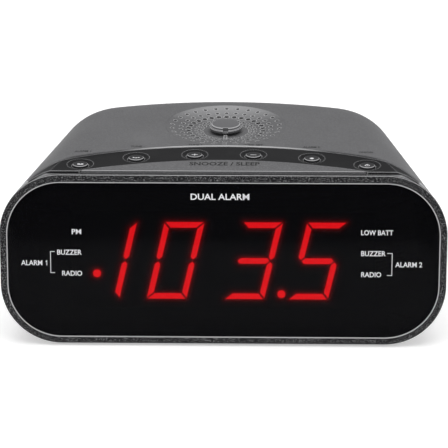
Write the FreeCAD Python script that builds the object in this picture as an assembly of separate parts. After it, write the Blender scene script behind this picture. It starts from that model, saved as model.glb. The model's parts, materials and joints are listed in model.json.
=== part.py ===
"""Bedside clock radio with a leaning oval-cornered face, built as separate pieces.

Lengths are in millimetres, +Z is up and the face looks along -Y.  The pieces are
worked out with Y = 0 at the middle of the face, and save() moves them so that the
origin is at the middle of the footprint, on the surface that the feet stand on.
"""
import FreeCAD, Part
import math
import os

V = FreeCAD.Vector

# ---- driving dimensions: case ---------------------------------------------
CENTRE_Y = 52.25         # from the middle of the face to the middle of the depth
CASE_HALF_W = 87.4       # half width of the case at the face
CASE_TOP = 70.4
CASE_BOTTOM = 1.5        # underside of the case; the feet make up the rest
SIDE_TAPER = 11.7        # degrees, each side, narrowing towards the back
REAR_Y = 109.1           # back of the case on the centre line
REAR_BOW_R = 161.0       # plan radius of the bowed back
CORNER_R = 29.7          # plan radius of the back corners
EDGE_R = 25.0            # rounding of the long top and bottom edges
WALL = 2.5
SPLIT_Z = 28.0           # parting line of the two covers
LIP = 1.2                # tongue of the bottom cover inside the top cover
LIP_H = 2.0
REACH = 30.0             # how far forms run on before they are cut to length

# ---- driving dimensions: face -----------------------------------------------
FACE_LEAN = 8.4          # degrees that the face leans back
FACE_Z = 34.72           # height of the middle of the face
FACE_HALF_W = 87.4
FACE_HALF_H = 34.0
FACE_R = 24.0
RIM = 3.15               # visible width of the bezel round the lens
RIM_DEPTH = 0.75         # how far the rim slopes back
BEZEL_D = 2.0            # depth of the back of the bezel's rim
CASE_D = 3.0             # depth of the front edge of the case
LENS_D = 0.3
LENS_T = 2.5
SEGMENT_D = 3.0          # depth of the face of the lit segments
DISPLAY_D = 3.4
DISPLAY_T = 7.6
BOARD_T = 1.6
FACE_POSTS = ((-66.0, 21.0), (66.0, 21.0), (-66.0, -21.5), (66.0, -21.5))
DIGIT_H = 31.0           # between the outer edges of the top and bottom bars
DIGIT_W = 13.4           # between the middles of the upright bars
DIGIT_SLANT = 0.235      # sideways shift for each unit of height
BAR = 2.2                # thickness of a bar
BAR_GAP = 0.48           # half the gap between two bars
DIGIT_MIDDLE = -0.75     # height of the middle bars above the middle of the face
DIGITS = ((-45.1, "bc"), (-18.7, "abcdef"), (11.9, "abcdg"), (37.0, "acdfg"))
DOTS = ((-49.6, -6.1), (22.9, -14.2))
DOT_R = 1.55

# ---- driving dimensions: control panel, keys and knob -----------------------
PANEL_CENTRE_Y = -4.2    # centre of the ellipse that bounds the panel
PANEL_A = 80.0
PANEL_B = 37.7
PANEL_STEP = 0.35        # how far the panel lies under the case
PANEL_T = 1.3
PANEL_GAP = 0.05
SOFT_EDGE = 0.45         # rounding of the case's open edges
PANEL_REAR_Z = 70.05     # the panel falls from here ...
PANEL_FRONT_Z = 69.0     # ... to here
PANEL_REAR_Y = 33.5
PANEL_FRONT_Y = 8.1
KEYS = {                 # name: (x, y) on the panel
    "alarm_1_button": (-56.1, 14.4),
    "tune_down_button": (-34.6, 21.3),
    "tune_up_button": (-11.6, 24.6),
    "time_button": (11.6, 24.6),
    "alarm_2_button": (34.6, 21.3),
    "power_button": (56.1, 14.4),
}
KEY_R = 3.0
KEY_GAP = 0.3
KEY_TRAVEL = 0.8
KEY_PROUD = 0.35         # cap above the panel
DISH_R = 5.2             # dished finger recess round each key
DISH_DEPTH = 0.95
GUIDE_R = 5.6            # guide tube under each dish
SNOOZE_REAR_Y = 18.5
SNOOZE_R = 154.5         # plan radius of the snooze bar's back edge
SNOOZE_HALF_W = 55.6
SNOOZE_FRONT_Z = 69.05   # the bar's top is level with the panel in front ...
SNOOZE_REAR_Z = 69.95    # ... and stands proud of it behind
SNOOZE_GAP = 0.35
SNOOZE_T = 3.0
SNOOZE_TRAVEL = 0.8
SNOOZE_PLUNGERS = ((-18.0, 14.2), (18.0, 14.2))
SWITCH_TOP_Z = 64.0
KEY_BOARD_Z = 58.0
KEY_BOARD_POSTS = ((-46.0, 26.0), (-22.5, 27.5), (22.5, 27.5), (46.0, 26.0))

SPEAKER_Y = 59.0
GRILLE_R = 24.6
GRILLE_DEPTH = 3.1
GRILLE_T = 1.8
GRILLE_RINGS = ((22.1, 0.75), (18.5, 0.75), (15.3, 1.05), (12.1, 0.6), (10.0, 0.6))
GRILLE_SPOKES = 30
KNOB_R = 5.95
KNOB_FLANGE_R = 6.65
KNOB_TOP_Z = 70.95
SHAFT_R = 3.0
SHAFT_GAP = 0.05
SPEAKER_R = 28.5
SPEAKER_FRONT_Z = 56.0
SPEAKER_POSTS = ((-24.5, SPEAKER_Y - 24.5), (24.5, SPEAKER_Y - 24.5),
                 (-24.5, SPEAKER_Y + 24.5), (24.5, SPEAKER_Y + 24.5))

# ---- driving dimensions: underside and back -----------------------------------
BAY_HALF_W = 11.5        # battery bay for two AAA cells
BAY_Y = (35.0, 84.0)
BAY_TOP_Z = 15.5
BAY_WALL = 1.5
DOOR_T = 1.8
DOOR_GAP = 0.3
DOOR_TRAVEL = 30.0
FEET = ((-52.0, 16.0), (52.0, 16.0), (-36.0, 72.0), (36.0, 72.0))
FOOT_R = 5.0
POSTS = ((-70.0, 25.0), (70.0, 25.0), (-42.0, 84.0), (42.0, 84.0))
POST_R = 4.0
SCREW_R = 1.5
SCREW_HEAD_R = 2.8
SCREW_SEAT_Z = 14.0      # under the head of each case screw
GLAND_X = -30.0
ANTENNA_X = 30.0
OUTLET_Z = 21.0
OUTLET_SINK = 1.6        # extra thickness of the wall round each outlet
OUTLET_PROUD = 0.3       # its boss outside the wall
BUSH_PROUD = 1.2         # flange of the bush outside the boss
GLAND_BORE_R = 3.3
GLAND_R = 4.4
GLAND_FLANGE_R = 6.2
GROMMET_R = 2.4
GROMMET_BORE_R = 0.9
GROMMET_FLANGE_R = 3.8

# ---- driving dimensions: inside -------------------------------------------------
MAIN_BOARD_Z = 19.5
MAIN_TOP_Z = MAIN_BOARD_Z + BOARD_T
BOARD_POSTS = ((-58.0, 24.0), (58.0, 24.0), (-30.0, 40.0), (30.0, 40.0))
ANTENNA_ROD = (12.0, 62.0, 30.0, 34.0)   # ends in x, then y and z
TRANSFORMER = (-36.0, 66.0, 6.0)         # middle of its base


# ---- small helpers ---------------------------------------------------------------
def save(name, shape):
    """Write one piece, moved to the origin at the middle of the footprint."""
    placed = shape.copy()
    placed.translate(V(0, -CENTRE_Y, 0))
    placed.exportStep("parts/%s.step" % name)


def box(x0, x1, y0, y1, z0, z1):
    return Part.makeBox(x1 - x0, y1 - y0, z1 - z0, V(x0, y0, z0))


def tube(r_out, r_in, z0, z1, x, y):
    """Upright tube, or a rod where r_in is 0."""
    rod = Part.makeCylinder(r_out, z1 - z0, V(x, y, z0))
    if r_in:
        rod = rod.cut(Part.makeCylinder(r_in, z1 - z0, V(x, y, z0)))
    return rod


def fuse(shapes):
    """One solid from touching or overlapping shapes."""
    joined = shapes[0].fuse(list(shapes[1:])) if len(shapes) > 1 else shapes[0]
    return joined.removeSplitter()


def turned(profile, x, y, z):
    """Solid of revolution about the upright axis through (x, y); profile is (r, z)."""
    points = [V(r, 0, h) for r, h in profile]
    face = Part.Face(Part.makePolygon(points + points[:1]))
    solid = face.revolve(V(0, 0, 0), V(0, 0, 1), 360)
    solid.translate(V(x, y, z))
    return solid


# ---- face coordinates: x to the right, up the face, and depth into the case --------
def to_face(shape):
    """Turn a shape drawn flat (x, up, outwards) so that it lies on the leaning face."""
    placed = shape.copy()
    placed.Placement = FreeCAD.Placement(
        V(0, 0, FACE_Z), FreeCAD.Rotation(V(1, 0, 0), 90 - FACE_LEAN)
    ).multiply(placed.Placement)
    return placed


def face_block(x0, x1, up0, up1, d0, d1):
    """Block on the face between the depths d0 and d1."""
    return to_face(box(x0, x1, up0, up1, -d1, -d0))


def rounded_wire(inset, depth):
    """Outline of the face moved in by inset, at a depth."""
    w = FACE_HALF_W - inset
    h = FACE_HALF_H - inset
    r = FACE_R - inset
    z = -depth
    k = r * (1 - math.sqrt(0.5))
    edges = []
    for i, (sx, sy) in enumerate(((1, 1), (-1, 1), (-1, -1), (1, -1))):
        side = V(sx * w, sy * (h - r), z)
        top = V(sx * (w - r), sy * h, z)
        first, last = (side, top) if i % 2 == 0 else (top, side)
        middle = V(sx * (w - k), sy * (h - k), z)
        edges.append(Part.Arc(first, middle, last).toShape())
    ends = [(e.firstVertex().Point, e.lastVertex().Point) for e in edges]
    for i in range(4):
        edges.append(Part.makeLine(ends[i][1], ends[(i + 1) % 4][0]))
    return Part.Wire(Part.__sortEdges__(edges))


def face_plate(inset, d0, d1):
    """Plate with the face's outline moved in by inset, between two depths."""
    plate = Part.Face(rounded_wire(inset, d1)).extrude(V(0, 0, d1 - d0))
    return to_face(plate)


def behind_face(depth):
    """Everything deeper than depth."""
    return face_block(-120, 120, -120, 120, depth, 200)


# ---- case forms -----------------------------------------------------------------------
def plan_wire(inset):
    """Outline of the case from above, moved in by inset and run on past the face."""
    t = math.radians(SIDE_TAPER)
    along = V(-math.sin(t), math.cos(t), 0)
    out = V(math.cos(t), math.sin(t), 0)
    bow_centre = V(0, REAR_Y - REAR_BOW_R, 0)
    start = V(CASE_HALF_W, 0, 0) - out * CORNER_R
    reach = start - bow_centre
    b = reach.dot(along)
    c = reach.dot(reach) - (REAR_BOW_R - CORNER_R) ** 2
    corner = start + along * (-b + math.sqrt(b * b - c))
    to_rear = (corner - bow_centre).normalize()
    side_end = corner + out * (CORNER_R - inset)
    rear_end = corner + to_rear * (CORNER_R - inset)
    middle = corner + (out + to_rear).normalize() * (CORNER_R - inset)
    front = side_end - along * ((side_end.y + REACH) / along.y)
    back = V(0, REAR_Y - inset, 0)

    def left(p):
        return V(-p.x, p.y, 0)

    edges = [
        Part.makeLine(left(front), front),
        Part.makeLine(front, side_end),
        Part.Arc(side_end, middle, rear_end).toShape(),
        Part.Arc(rear_end, back, left(rear_end)).toShape(),
        Part.Arc(left(rear_end), left(middle), left(side_end)).toShape(),
        Part.makeLine(left(side_end), left(front)),
    ]
    return Part.Wire(edges)


def case_form(inset, z0, z1):
    """Rounded block: the case moved in by inset, from z0 to z1."""
    block = Part.Face(plan_wire(inset)).extrude(V(0, 0, z1 - z0))
    block.translate(V(0, 0, z0))
    rims = []
    for edge in block.Edges:
        b = edge.BoundBox
        if b.ZLength < 0.01 and b.YMax > -REACH + 1:
            rims.append(edge)
    return block.makeFillet(EDGE_R - inset, rims)


def under_slope(height):
    """Everything under the plane whose height at each y is height(y)."""
    y0, y1 = -REACH, 160.0
    points = [V(-120, y0, -20), V(-120, y1, -20), V(-120, y1, height(y1)), V(-120, y0, height(y0))]
    side = Part.Face(Part.makePolygon(points + points[:1]))
    return side.extrude(V(240, 0, 0))


def panel_z(y):
    """Height of the panel's top at y."""
    slope = (PANEL_REAR_Z - PANEL_FRONT_Z) / (PANEL_REAR_Y - PANEL_FRONT_Y)
    return PANEL_FRONT_Z + slope * (y - PANEL_FRONT_Y)


def panel_slope(drop):
    """Everything under the panel's sloping top, lowered by drop."""
    return under_slope(lambda y: panel_z(y) - drop)


def snooze_z(y):
    """Height of the snooze bar's top at y."""
    slope = (SNOOZE_REAR_Z - SNOOZE_FRONT_Z) / (SNOOZE_REAR_Y - PANEL_FRONT_Y)
    return SNOOZE_FRONT_Z + slope * (y - PANEL_FRONT_Y)


def panel_prism(grow):
    """Elliptic column that bounds the control panel from above."""
    oval = Part.Ellipse(V(0, PANEL_CENTRE_Y, 40), PANEL_A + grow, PANEL_B + grow)
    return Part.Face(Part.Wire(oval.toShape())).extrude(V(0, 0, 50))


def snooze_prism(grow, z0, z1):
    """Crescent column of the snooze bar: straight in front, bowed behind."""
    centre_y = SNOOZE_REAR_Y - SNOOZE_R
    bow = Part.makeCylinder(SNOOZE_R + grow, z1 - z0, V(0, centre_y, z0))
    half = SNOOZE_HALF_W + grow
    return bow.common(box(-half, half, -REACH, 60, z0, z1))


# ---- casing -------------------------------------------------------------------------------
OUTER = case_form(0, CASE_BOTTOM, CASE_TOP)
INNER = case_form(WALL, CASE_BOTTOM + WALL, CASE_TOP - WALL - 0.4)
INNER_ROOF_DROP = PANEL_T + 1.3      # inner roof under the panel's top
HOLLOW = INNER.common(panel_slope(INNER_ROOF_DROP))


def outer_edges(shape, test):
    """Edges on the outside of the case whose points all pass a test."""
    core = case_form(0.2, CASE_BOTTOM + 0.2, CASE_TOP - 0.2)
    chosen = []
    for edge in shape.Edges:
        first, last = edge.ParameterRange
        points = [edge.valueAt(first + (last - first) * k / 4) for k in range(5)]
        if all(test(p) and not core.isInside(p, 0.001, False) for p in points):
            chosen.append(edge)
    return chosen


def on_front(point):
    """True on the plane of the case's front edge."""
    lean = math.radians(FACE_LEAN)
    depth = point.y * math.cos(lean) - (point.z - FACE_Z) * math.sin(lean)
    return abs(depth - CASE_D) < 0.01


def on_recess(point):
    """True on the oval wall of the control panel's recess."""
    across = point.x / (PANEL_A + PANEL_GAP)
    back = (point.y - PANEL_CENTRE_Y) / (PANEL_B + PANEL_GAP)
    return abs(across ** 2 + back ** 2 - 1) < 0.002


def post_hole(x, y, z0, z1, r):
    return Part.makeCylinder(r, z1 - z0, V(x, y, z0))


def key_openings(r, z0, z1):
    return [Part.makeCylinder(r, z1 - z0, V(x, y, z0)) for x, y in KEYS.values()]


def rear_slots():
    """Row of upright vent slots through the back wall."""
    slots = []
    for i in range(9):
        x = (i - 4) * 6.0
        slots.append(box(x - 1.0, x + 1.0, REAR_Y - 9, REAR_Y + 2, 33, 46))
    return slots


def top_cover():
    shell = OUTER.cut(HOLLOW).common(behind_face(CASE_D))
    shell = shell.common(box(-120, 120, -60, 160, SPLIT_Z, 90))
    groove = case_form(WALL - LIP - 0.05, CASE_BOTTOM, CASE_TOP)
    groove = groove.common(box(-120, 120, -60, 160, SPLIT_Z - 1, SPLIT_Z + LIP_H + 0.1))
    shell = shell.cut(groove)
    recess = panel_prism(PANEL_GAP).cut(case_form(PANEL_STEP + PANEL_T, 2, CASE_TOP - 1).common(
        panel_slope(PANEL_T)))
    shell = shell.cut(recess)
    shell = shell.cut(snooze_prism(SNOOZE_GAP, 60, 80))
    shell = shell.cut(key_openings(GUIDE_R + 0.1, 60, 80))
    seat = tube(GRILLE_R + 2.4, 0, CASE_TOP - GRILLE_T - 3.2, CASE_TOP - 3, 0, SPEAKER_Y)
    shell = fuse([shell, seat])
    shell = shell.cut(tube(GRILLE_R + 0.05, 0, CASE_TOP - 3.2, 80, 0, SPEAKER_Y))
    shell = shell.cut(tube(GRILLE_R - 1.6, 0, 50, 80, 0, SPEAKER_Y))
    posts = [tube(POST_R, 0, SPLIT_Z, CASE_TOP - WALL, x, y) for x, y in POSTS]
    columns = [tube(3.5, 0, 56.0, CASE_TOP - WALL, x, y) for x, y in SPEAKER_POSTS]
    columns += [tube(2.2, 0, KEY_BOARD_Z + BOARD_T, CASE_TOP - WALL, x, y)
                for x, y in KEY_BOARD_POSTS]
    inside = OUTER.common(panel_slope(PANEL_T))
    shell = fuse([shell] + [p.common(inside) for p in posts + columns])
    pilots = [post_hole(x, y, SPLIT_Z, SPLIT_Z + 14, SCREW_R) for x, y in POSTS]
    pilots += [post_hole(x, y, 56, 62, 1.2) for x, y in SPEAKER_POSTS]
    pilots += [post_hole(x, y, 59, 63.5, 1.0) for x, y in KEY_BOARD_POSTS]
    shell = shell.cut(pilots + rear_slots())
    soft = outer_edges(shell, on_front) + outer_edges(shell, on_recess)
    return shell.makeFillet(SOFT_EDGE, soft)


def bottom_cover():
    shell = OUTER.cut(INNER).common(behind_face(CASE_D))
    shell = shell.common(box(-120, 120, -60, 160, -1, SPLIT_Z))
    lip = case_form(WALL - LIP, CASE_BOTTOM, CASE_TOP).cut(INNER)
    lip = lip.common(behind_face(12.0))
    lip = lip.common(box(-120, 120, -60, 160, SPLIT_Z - 1, SPLIT_Z + LIP_H))
    posts = [tube(POST_R, 0, 0, SPLIT_Z, x, y) for x, y in POSTS]
    walls = box(-BAY_HALF_W - BAY_WALL, BAY_HALF_W + BAY_WALL,
                BAY_Y[0] - BAY_WALL, BAY_Y[1] + BAY_WALL,
                CASE_BOTTOM, BAY_TOP_Z + BAY_WALL)
    standoffs = [tube(3.0, 0, CASE_BOTTOM, MAIN_BOARD_Z, x, y) for x, y in BOARD_POSTS]
    inside = [p.common(OUTER) for p in [walls] + posts + standoffs]
    pads = [outlet_pad(GLAND_X, GLAND_FLANGE_R + 0.6), outlet_pad(ANTENNA_X, GROMMET_FLANGE_R + 0.6)]
    shell = fuse([shell, lip] + inside + pads)
    seats = [outlet_seat(GLAND_X, GLAND_FLANGE_R + 0.3), outlet_seat(ANTENNA_X, GROMMET_FLANGE_R + 0.3)]
    shell = shell.cut(seats)
    hollow = box(-BAY_HALF_W, BAY_HALF_W, BAY_Y[0], BAY_Y[1], 0, BAY_TOP_Z)
    reach = BAY_Y[1] + DOOR_TRAVEL
    door_way = box(-BAY_HALF_W - DOOR_GAP, BAY_HALF_W + DOOR_GAP,
                   BAY_Y[0] - DOOR_GAP, reach, 0, CASE_BOTTOM + DOOR_T + DOOR_GAP)
    rails = box(-BAY_HALF_W - 1.2 - DOOR_GAP, BAY_HALF_W + 1.2 + DOOR_GAP,
                BAY_Y[0] - DOOR_GAP, reach,
                CASE_BOTTOM + DOOR_T - 0.8 - 0.2, CASE_BOTTOM + DOOR_T + DOOR_GAP)
    shell = shell.cut([hollow, door_way, rails])
    shell = shell.cut([tube(FOOT_R + 0.05, 0, 0, CASE_BOTTOM + 1, x, y) for x, y in FEET])
    shell = shell.cut([post_hole(x, y, 0, SPLIT_Z, SCREW_R + 0.2) for x, y in POSTS])
    shell = shell.cut([post_hole(x, y, 0, SCREW_SEAT_Z, SCREW_HEAD_R + 0.3) for x, y in POSTS])
    shell = shell.cut([post_hole(x, y, MAIN_BOARD_Z - 6, MAIN_BOARD_Z, 1.0)
                       for x, y in BOARD_POSTS])
    outlets = [outlet_hole(GLAND_X, GLAND_R), outlet_hole(ANTENNA_X, GROMMET_R)]
    shell = shell.cut(bottom_slots() + outlets)
    return shell.makeFillet(SOFT_EDGE, outer_edges(shell, on_front))


def bottom_slots():
    """Vent slots in the floor under the transformer."""
    return [box(x - 1, x + 1, 44, 62, 0, 6) for x in (-44, -39, -34, -29, -24)]


def outlet_axis(x):
    """Point on the back wall at x, and the wall's outward direction there."""
    centre = V(0, REAR_Y - REAR_BOW_R, OUTLET_Z)
    out = V(x, math.sqrt(REAR_BOW_R ** 2 - x ** 2), 0).normalize()
    return centre + out * REAR_BOW_R, out


def outlet_pad(x, r):
    """Round boss in the back wall at an outlet, so that its bush has flat seats."""
    point, out = outlet_axis(x)
    length = WALL + OUTLET_SINK
    return Part.makeCylinder(r, length + OUTLET_PROUD, point - out * length, out)


def outlet_seat(x, r):
    """Room for a bush's inner flange behind its boss."""
    point, out = outlet_axis(x)
    length = WALL + OUTLET_SINK
    return Part.makeCylinder(r, 6, point - out * (length + 6), out)


def outlet_hole(x, r):
    point, out = outlet_axis(x)
    return Part.makeCylinder(r, 12, point - out * 9, out)


def bush(x, r_neck, r_flange, bore):
    """Flanged bush through the back wall, with its bore along the wall's normal."""
    point, out = outlet_axis(x)
    inner = point - out * (WALL + OUTLET_SINK + 1.5)
    outer = point + out * (OUTLET_PROUD + BUSH_PROUD)
    body = Part.makeCylinder(r_neck, (outer - inner).Length, inner, out)
    flange_in = Part.makeCylinder(r_flange, 1.5, inner, out)
    flange_out = Part.makeCylinder(r_flange - 0.4, BUSH_PROUD, point + out * OUTLET_PROUD, out)
    through = Part.makeCylinder(bore, 30, inner - out * 5, out)
    return fuse([body, flange_in, flange_out]).cut(through)


# ---- face parts ---------------------------------------------------------------------------
def front_bezel():
    slope = Part.makeLoft([rounded_wire(0, RIM_DEPTH), rounded_wire(RIM - 0.6, 0)], True)
    rim = fuse([to_face(slope), face_plate(0, RIM_DEPTH, BEZEL_D)])
    neck = face_plate(1.3, BEZEL_D - 0.1, CASE_D - 0.1)
    ledge = face_plate(4.5, CASE_D - 0.2, 4.5)
    skirt = face_plate(5.2, 4.4, 6.5)
    body = fuse([rim, neck, ledge, skirt])
    body = body.cut(face_plate(RIM, -5, LENS_D + LENS_T))
    body = body.cut(face_plate(7.0, 0, 20))
    posts = [face_rod(x, up, 3.0, 4.0, DISPLAY_D + DISPLAY_T) for x, up in FACE_POSTS]
    holes = [face_rod(x, up, 1.0, 6.0, 20) for x, up in FACE_POSTS]
    arms = [face_block(x - 3, x + 3, *sorted((up, math.copysign(30.0, up))), 3.0, 4.5)
            for x, up in FACE_POSTS]
    trim = [a.common(face_plate(4.5, 2.9, 4.5)).cut(face_plate(RIM, -5, LENS_D + LENS_T)) for a in arms]
    return fuse([body] + trim + posts).cut(holes)


def face_rod(x, up, r, d0, d1):
    rod = Part.makeCylinder(r, d1 - d0, V(x, up, -d1))
    return to_face(rod)


def display_lens():
    return face_plate(RIM + 0.05, LENS_D, LENS_D + LENS_T)


# ---- display ------------------------------------------------------------------------------
def bar_outline(name):
    """Corners of one bar of an upright digit, about the digit's middle."""
    w = (DIGIT_W + BAR) / 2
    h = DIGIT_H / 2
    half = BAR / 2
    inner_w = w - BAR - BAR_GAP
    if name in "ad":
        corners = ((BAR_GAP - w, h), (w - BAR_GAP, h), (inner_w, h - BAR), (-inner_w, h - BAR))
    elif name == "g":
        tip = w - half - BAR_GAP
        corners = ((-tip, 0), (-inner_w, half), (inner_w, half),
                   (tip, 0), (inner_w, -half), (-inner_w, -half))
    else:
        corners = ((w, h - BAR_GAP), (w, half + BAR_GAP), (w - half, BAR_GAP),
                   (w - BAR, half + BAR_GAP), (w - BAR, h - BAR - BAR_GAP))
    side = -1 if name in "ef" else 1
    level = -1 if name in "cde" else 1
    return [(side * x, level * up) for x, up in corners]


def digit(centre_x, bars):
    """The lit bars of one seven-segment digit."""
    solids = []
    for name in bars:
        corners = [V(centre_x + x + up * DIGIT_SLANT, DIGIT_MIDDLE + up, -DISPLAY_D)
                   for x, up in bar_outline(name)]
        flat = Part.Face(Part.makePolygon(corners + corners[:1]))
        solids.append(to_face(flat.extrude(V(0, 0, DISPLAY_D - SEGMENT_D))))
    return solids


def display_segments():
    bars = []
    for x, lit in DIGITS:
        bars += digit(x, lit)
    bars += [face_rod(x, up, DOT_R, SEGMENT_D, DISPLAY_D) for x, up in DOTS]
    return Part.makeCompound(bars)


def display_mask():
    """Black film behind the lens, with a window for the digits."""
    film = face_plate(7.05, LENS_D + LENS_T, LENS_D + LENS_T + 0.15)
    return film.cut(face_block(-59.5, 59.5, -20.0, 19.0, 0, 10))


def led_display():
    return face_block(-60, 60, -20.5, 19.5, DISPLAY_D, DISPLAY_D + DISPLAY_T)


def display_board():
    board = face_block(-70, 70, -25, 24, DISPLAY_D + DISPLAY_T, DISPLAY_D + DISPLAY_T + BOARD_T)
    holes = [face_rod(x, up, 1.4, 5, 20) for x, up in FACE_POSTS]
    return board.cut(holes)


def face_screws():
    screws = []
    back = DISPLAY_D + DISPLAY_T + BOARD_T
    for x, up in FACE_POSTS:
        shank = face_rod(x, up, 1.0, back - 4.8, back + 0.5)
        head = face_rod(x, up, 2.2, back, back + 1.5)
        screws.append(fuse([shank, head]))
    return Part.makeCompound(screws)


# ---- keys -----------------------------------------------------------------------------------
def control_panel():
    skin = case_form(PANEL_STEP, 1.8, CASE_TOP - PANEL_STEP).common(panel_slope(0))
    core = case_form(PANEL_STEP + PANEL_T, 2, CASE_TOP - 1).common(panel_slope(PANEL_T))
    plate = skin.cut(core).common(panel_prism(0)).common(behind_face(CASE_D))
    plate = plate.common(box(-120, 120, -60, 160, SPLIT_Z + 4, 90))
    guides = []
    for x, y in KEYS.values():
        guides.append(Part.makeCylinder(GUIDE_R, 3.6, V(x, y, panel_z(y) - 4.2)))
    plate = fuse([plate] + guides)
    for x, y in KEYS.values():
        z = panel_z(y)
        ball_r = (DISH_R ** 2 + DISH_DEPTH ** 2) / (2 * DISH_DEPTH)
        dish = Part.makeSphere(ball_r, V(x, y, z - DISH_DEPTH + ball_r))
        well = Part.makeCylinder(KEY_R + KEY_GAP, 12, V(x, y, z - 8))
        plate = plate.cut([dish, well])
    return plate.cut(snooze_prism(SNOOZE_GAP, 50, 80))


def button(name):
    x, y = KEYS[name]
    z = panel_z(y)
    low = SWITCH_TOP_Z + KEY_TRAVEL + 0.1
    top = z + KEY_PROUD
    flange_top = z - 4.2 - 0.1
    profile = [
        (0, low), (KEY_R + 1.0, low), (KEY_R + 1.0, flange_top), (KEY_R, flange_top),
        (KEY_R, top - 0.4), (KEY_R - 0.4, top), (0, top),
    ]
    return turned(profile, x, y, 0)


def snooze_bar():
    top = under_slope(snooze_z)
    block = snooze_prism(0, 66.4, 80).common(top).common(behind_face(CASE_D + 0.2))
    plungers = []
    low = SWITCH_TOP_Z + SNOOZE_TRAVEL + 0.1
    for x, y in SNOOZE_PLUNGERS:
        plungers.append(tube(2.2, 0, low, 67.5, x, y))
    return fuse([block] + plungers)


def key_board():
    board = box(-64, 64, 11.0, 30.5, KEY_BOARD_Z, KEY_BOARD_Z + BOARD_T)
    return board.cut([post_hole(x, y, 50, 70, 1.3) for x, y in KEY_BOARD_POSTS])


def tactile_switches():
    """One square switch with a round plunger under every key and snooze plunger."""
    switches = []
    z0 = KEY_BOARD_Z + BOARD_T
    for x, y in list(KEYS.values()) + list(SNOOZE_PLUNGERS):
        body = box(x - 3, x + 3, y - 3, y + 3, z0, z0 + 3.5)
        switches.append(fuse([body, tube(1.7, 0, z0 + 3, SWITCH_TOP_Z, x, y)]))
    return Part.makeCompound(switches)


# ---- grille, knob and speaker ----------------------------------------------------------------
def dish_height(radius, below):
    """Height of the dished grille's surface at a radius, or of one below it."""
    ball_r = (GRILLE_R ** 2 + GRILLE_DEPTH ** 2) / (2 * GRILLE_DEPTH)
    middle = CASE_TOP - GRILLE_DEPTH + ball_r
    return middle - math.sqrt((ball_r + below) ** 2 - radius ** 2)


def speaker_grille():
    """Dished disc with rings of sound holes, a neck hole and a pointer rib."""
    low = CASE_TOP - GRILLE_DEPTH - GRILLE_T
    seat = CASE_TOP - 3.2
    inner_r, boss_r = GRILLE_R - 1.65, 8.6

    def at(radius, below):
        return V(radius, 0, dish_height(radius, below))

    top = Part.Arc(at(0, 0), at(GRILLE_R / 2, 0), at(GRILLE_R, 0)).toShape()
    under = Part.Arc(at(inner_r, GRILLE_T), at(16, GRILLE_T), at(boss_r, GRILLE_T)).toShape()
    rim = Part.makePolygon([at(GRILLE_R, 0), V(GRILLE_R, 0, seat), V(inner_r, 0, seat),
                            at(inner_r, GRILLE_T)])
    boss = Part.makePolygon([at(boss_r, GRILLE_T), V(boss_r, 0, low), V(0, 0, low), at(0, 0)])
    wire = Part.Wire([top] + rim.Edges + [under] + boss.Edges)
    disc = Part.Face(wire).revolve(V(0, 0, 0), V(0, 0, 1), 360)
    disc.translate(V(0, SPEAKER_Y, 0))
    rib = box(-0.7, 0.7, SPEAKER_Y - 11.5, SPEAKER_Y - 7.4, low + 0.9, low + 3.0)
    disc = fuse([disc, rib])
    holes = [tube(3.55, 0, 60, 72, 0, SPEAKER_Y)]
    step = 2 * math.pi / GRILLE_SPOKES
    for ring_r, hole_r in GRILLE_RINGS:
        for i in range(GRILLE_SPOKES):
            x = ring_r * math.sin(i * step)
            y = ring_r * math.cos(i * step)
            if y < 0 and abs(x) < 1.9 and ring_r < 12.5:
                continue
            holes.append(Part.makeCylinder(hole_r, 14, V(x, SPEAKER_Y + y, 60)))
    return disc.cut(holes)


def volume_knob():
    base = CASE_TOP - GRILLE_DEPTH + 0.35
    top = KNOB_TOP_Z
    profile = [
        (0, base + 1.0), (SHAFT_R, base + 1.0), (SHAFT_R, base), (KNOB_FLANGE_R - 0.3, base + 0.9),
        (KNOB_FLANGE_R, base + 1.2), (KNOB_FLANGE_R, top - 1.2), (KNOB_R, top - 1.0),
        (KNOB_R, top - 0.3), (KNOB_R - 0.3, top), (0, top),
    ]
    knob = turned(profile, 0, SPEAKER_Y, 0)
    notch = box(-1.0, 1.0, SPEAKER_Y - 8, SPEAKER_Y - KNOB_R + 0.9, top - 1.9, top + 1)
    return knob.cut(notch)


def volume_shaft():
    base = CASE_TOP - GRILLE_DEPTH + 0.35
    return tube(SHAFT_R, 0, 60.0, base + 1.0, 0, SPEAKER_Y)


def volume_control():
    """Rotary control: body and threaded neck, with a bore for the shaft."""
    neck_z = CASE_TOP - GRILLE_DEPTH - GRILLE_T
    body = tube(8.0, 0, neck_z - 7.0, neck_z, 0, SPEAKER_Y)
    neck = tube(3.5, 0, neck_z - 1, neck_z + GRILLE_T - 0.1, 0, SPEAKER_Y)
    tags = [box(x - 0.6, x + 0.6, SPEAKER_Y - 12, SPEAKER_Y - 7, neck_z - 6.5, neck_z - 6.0)
            for x in (-4, 0, 4)]
    bore = tube(SHAFT_R + SHAFT_GAP, 0, 59.9, 80, 0, SPEAKER_Y)
    return fuse([body, neck] + tags).cut(bore)


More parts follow.
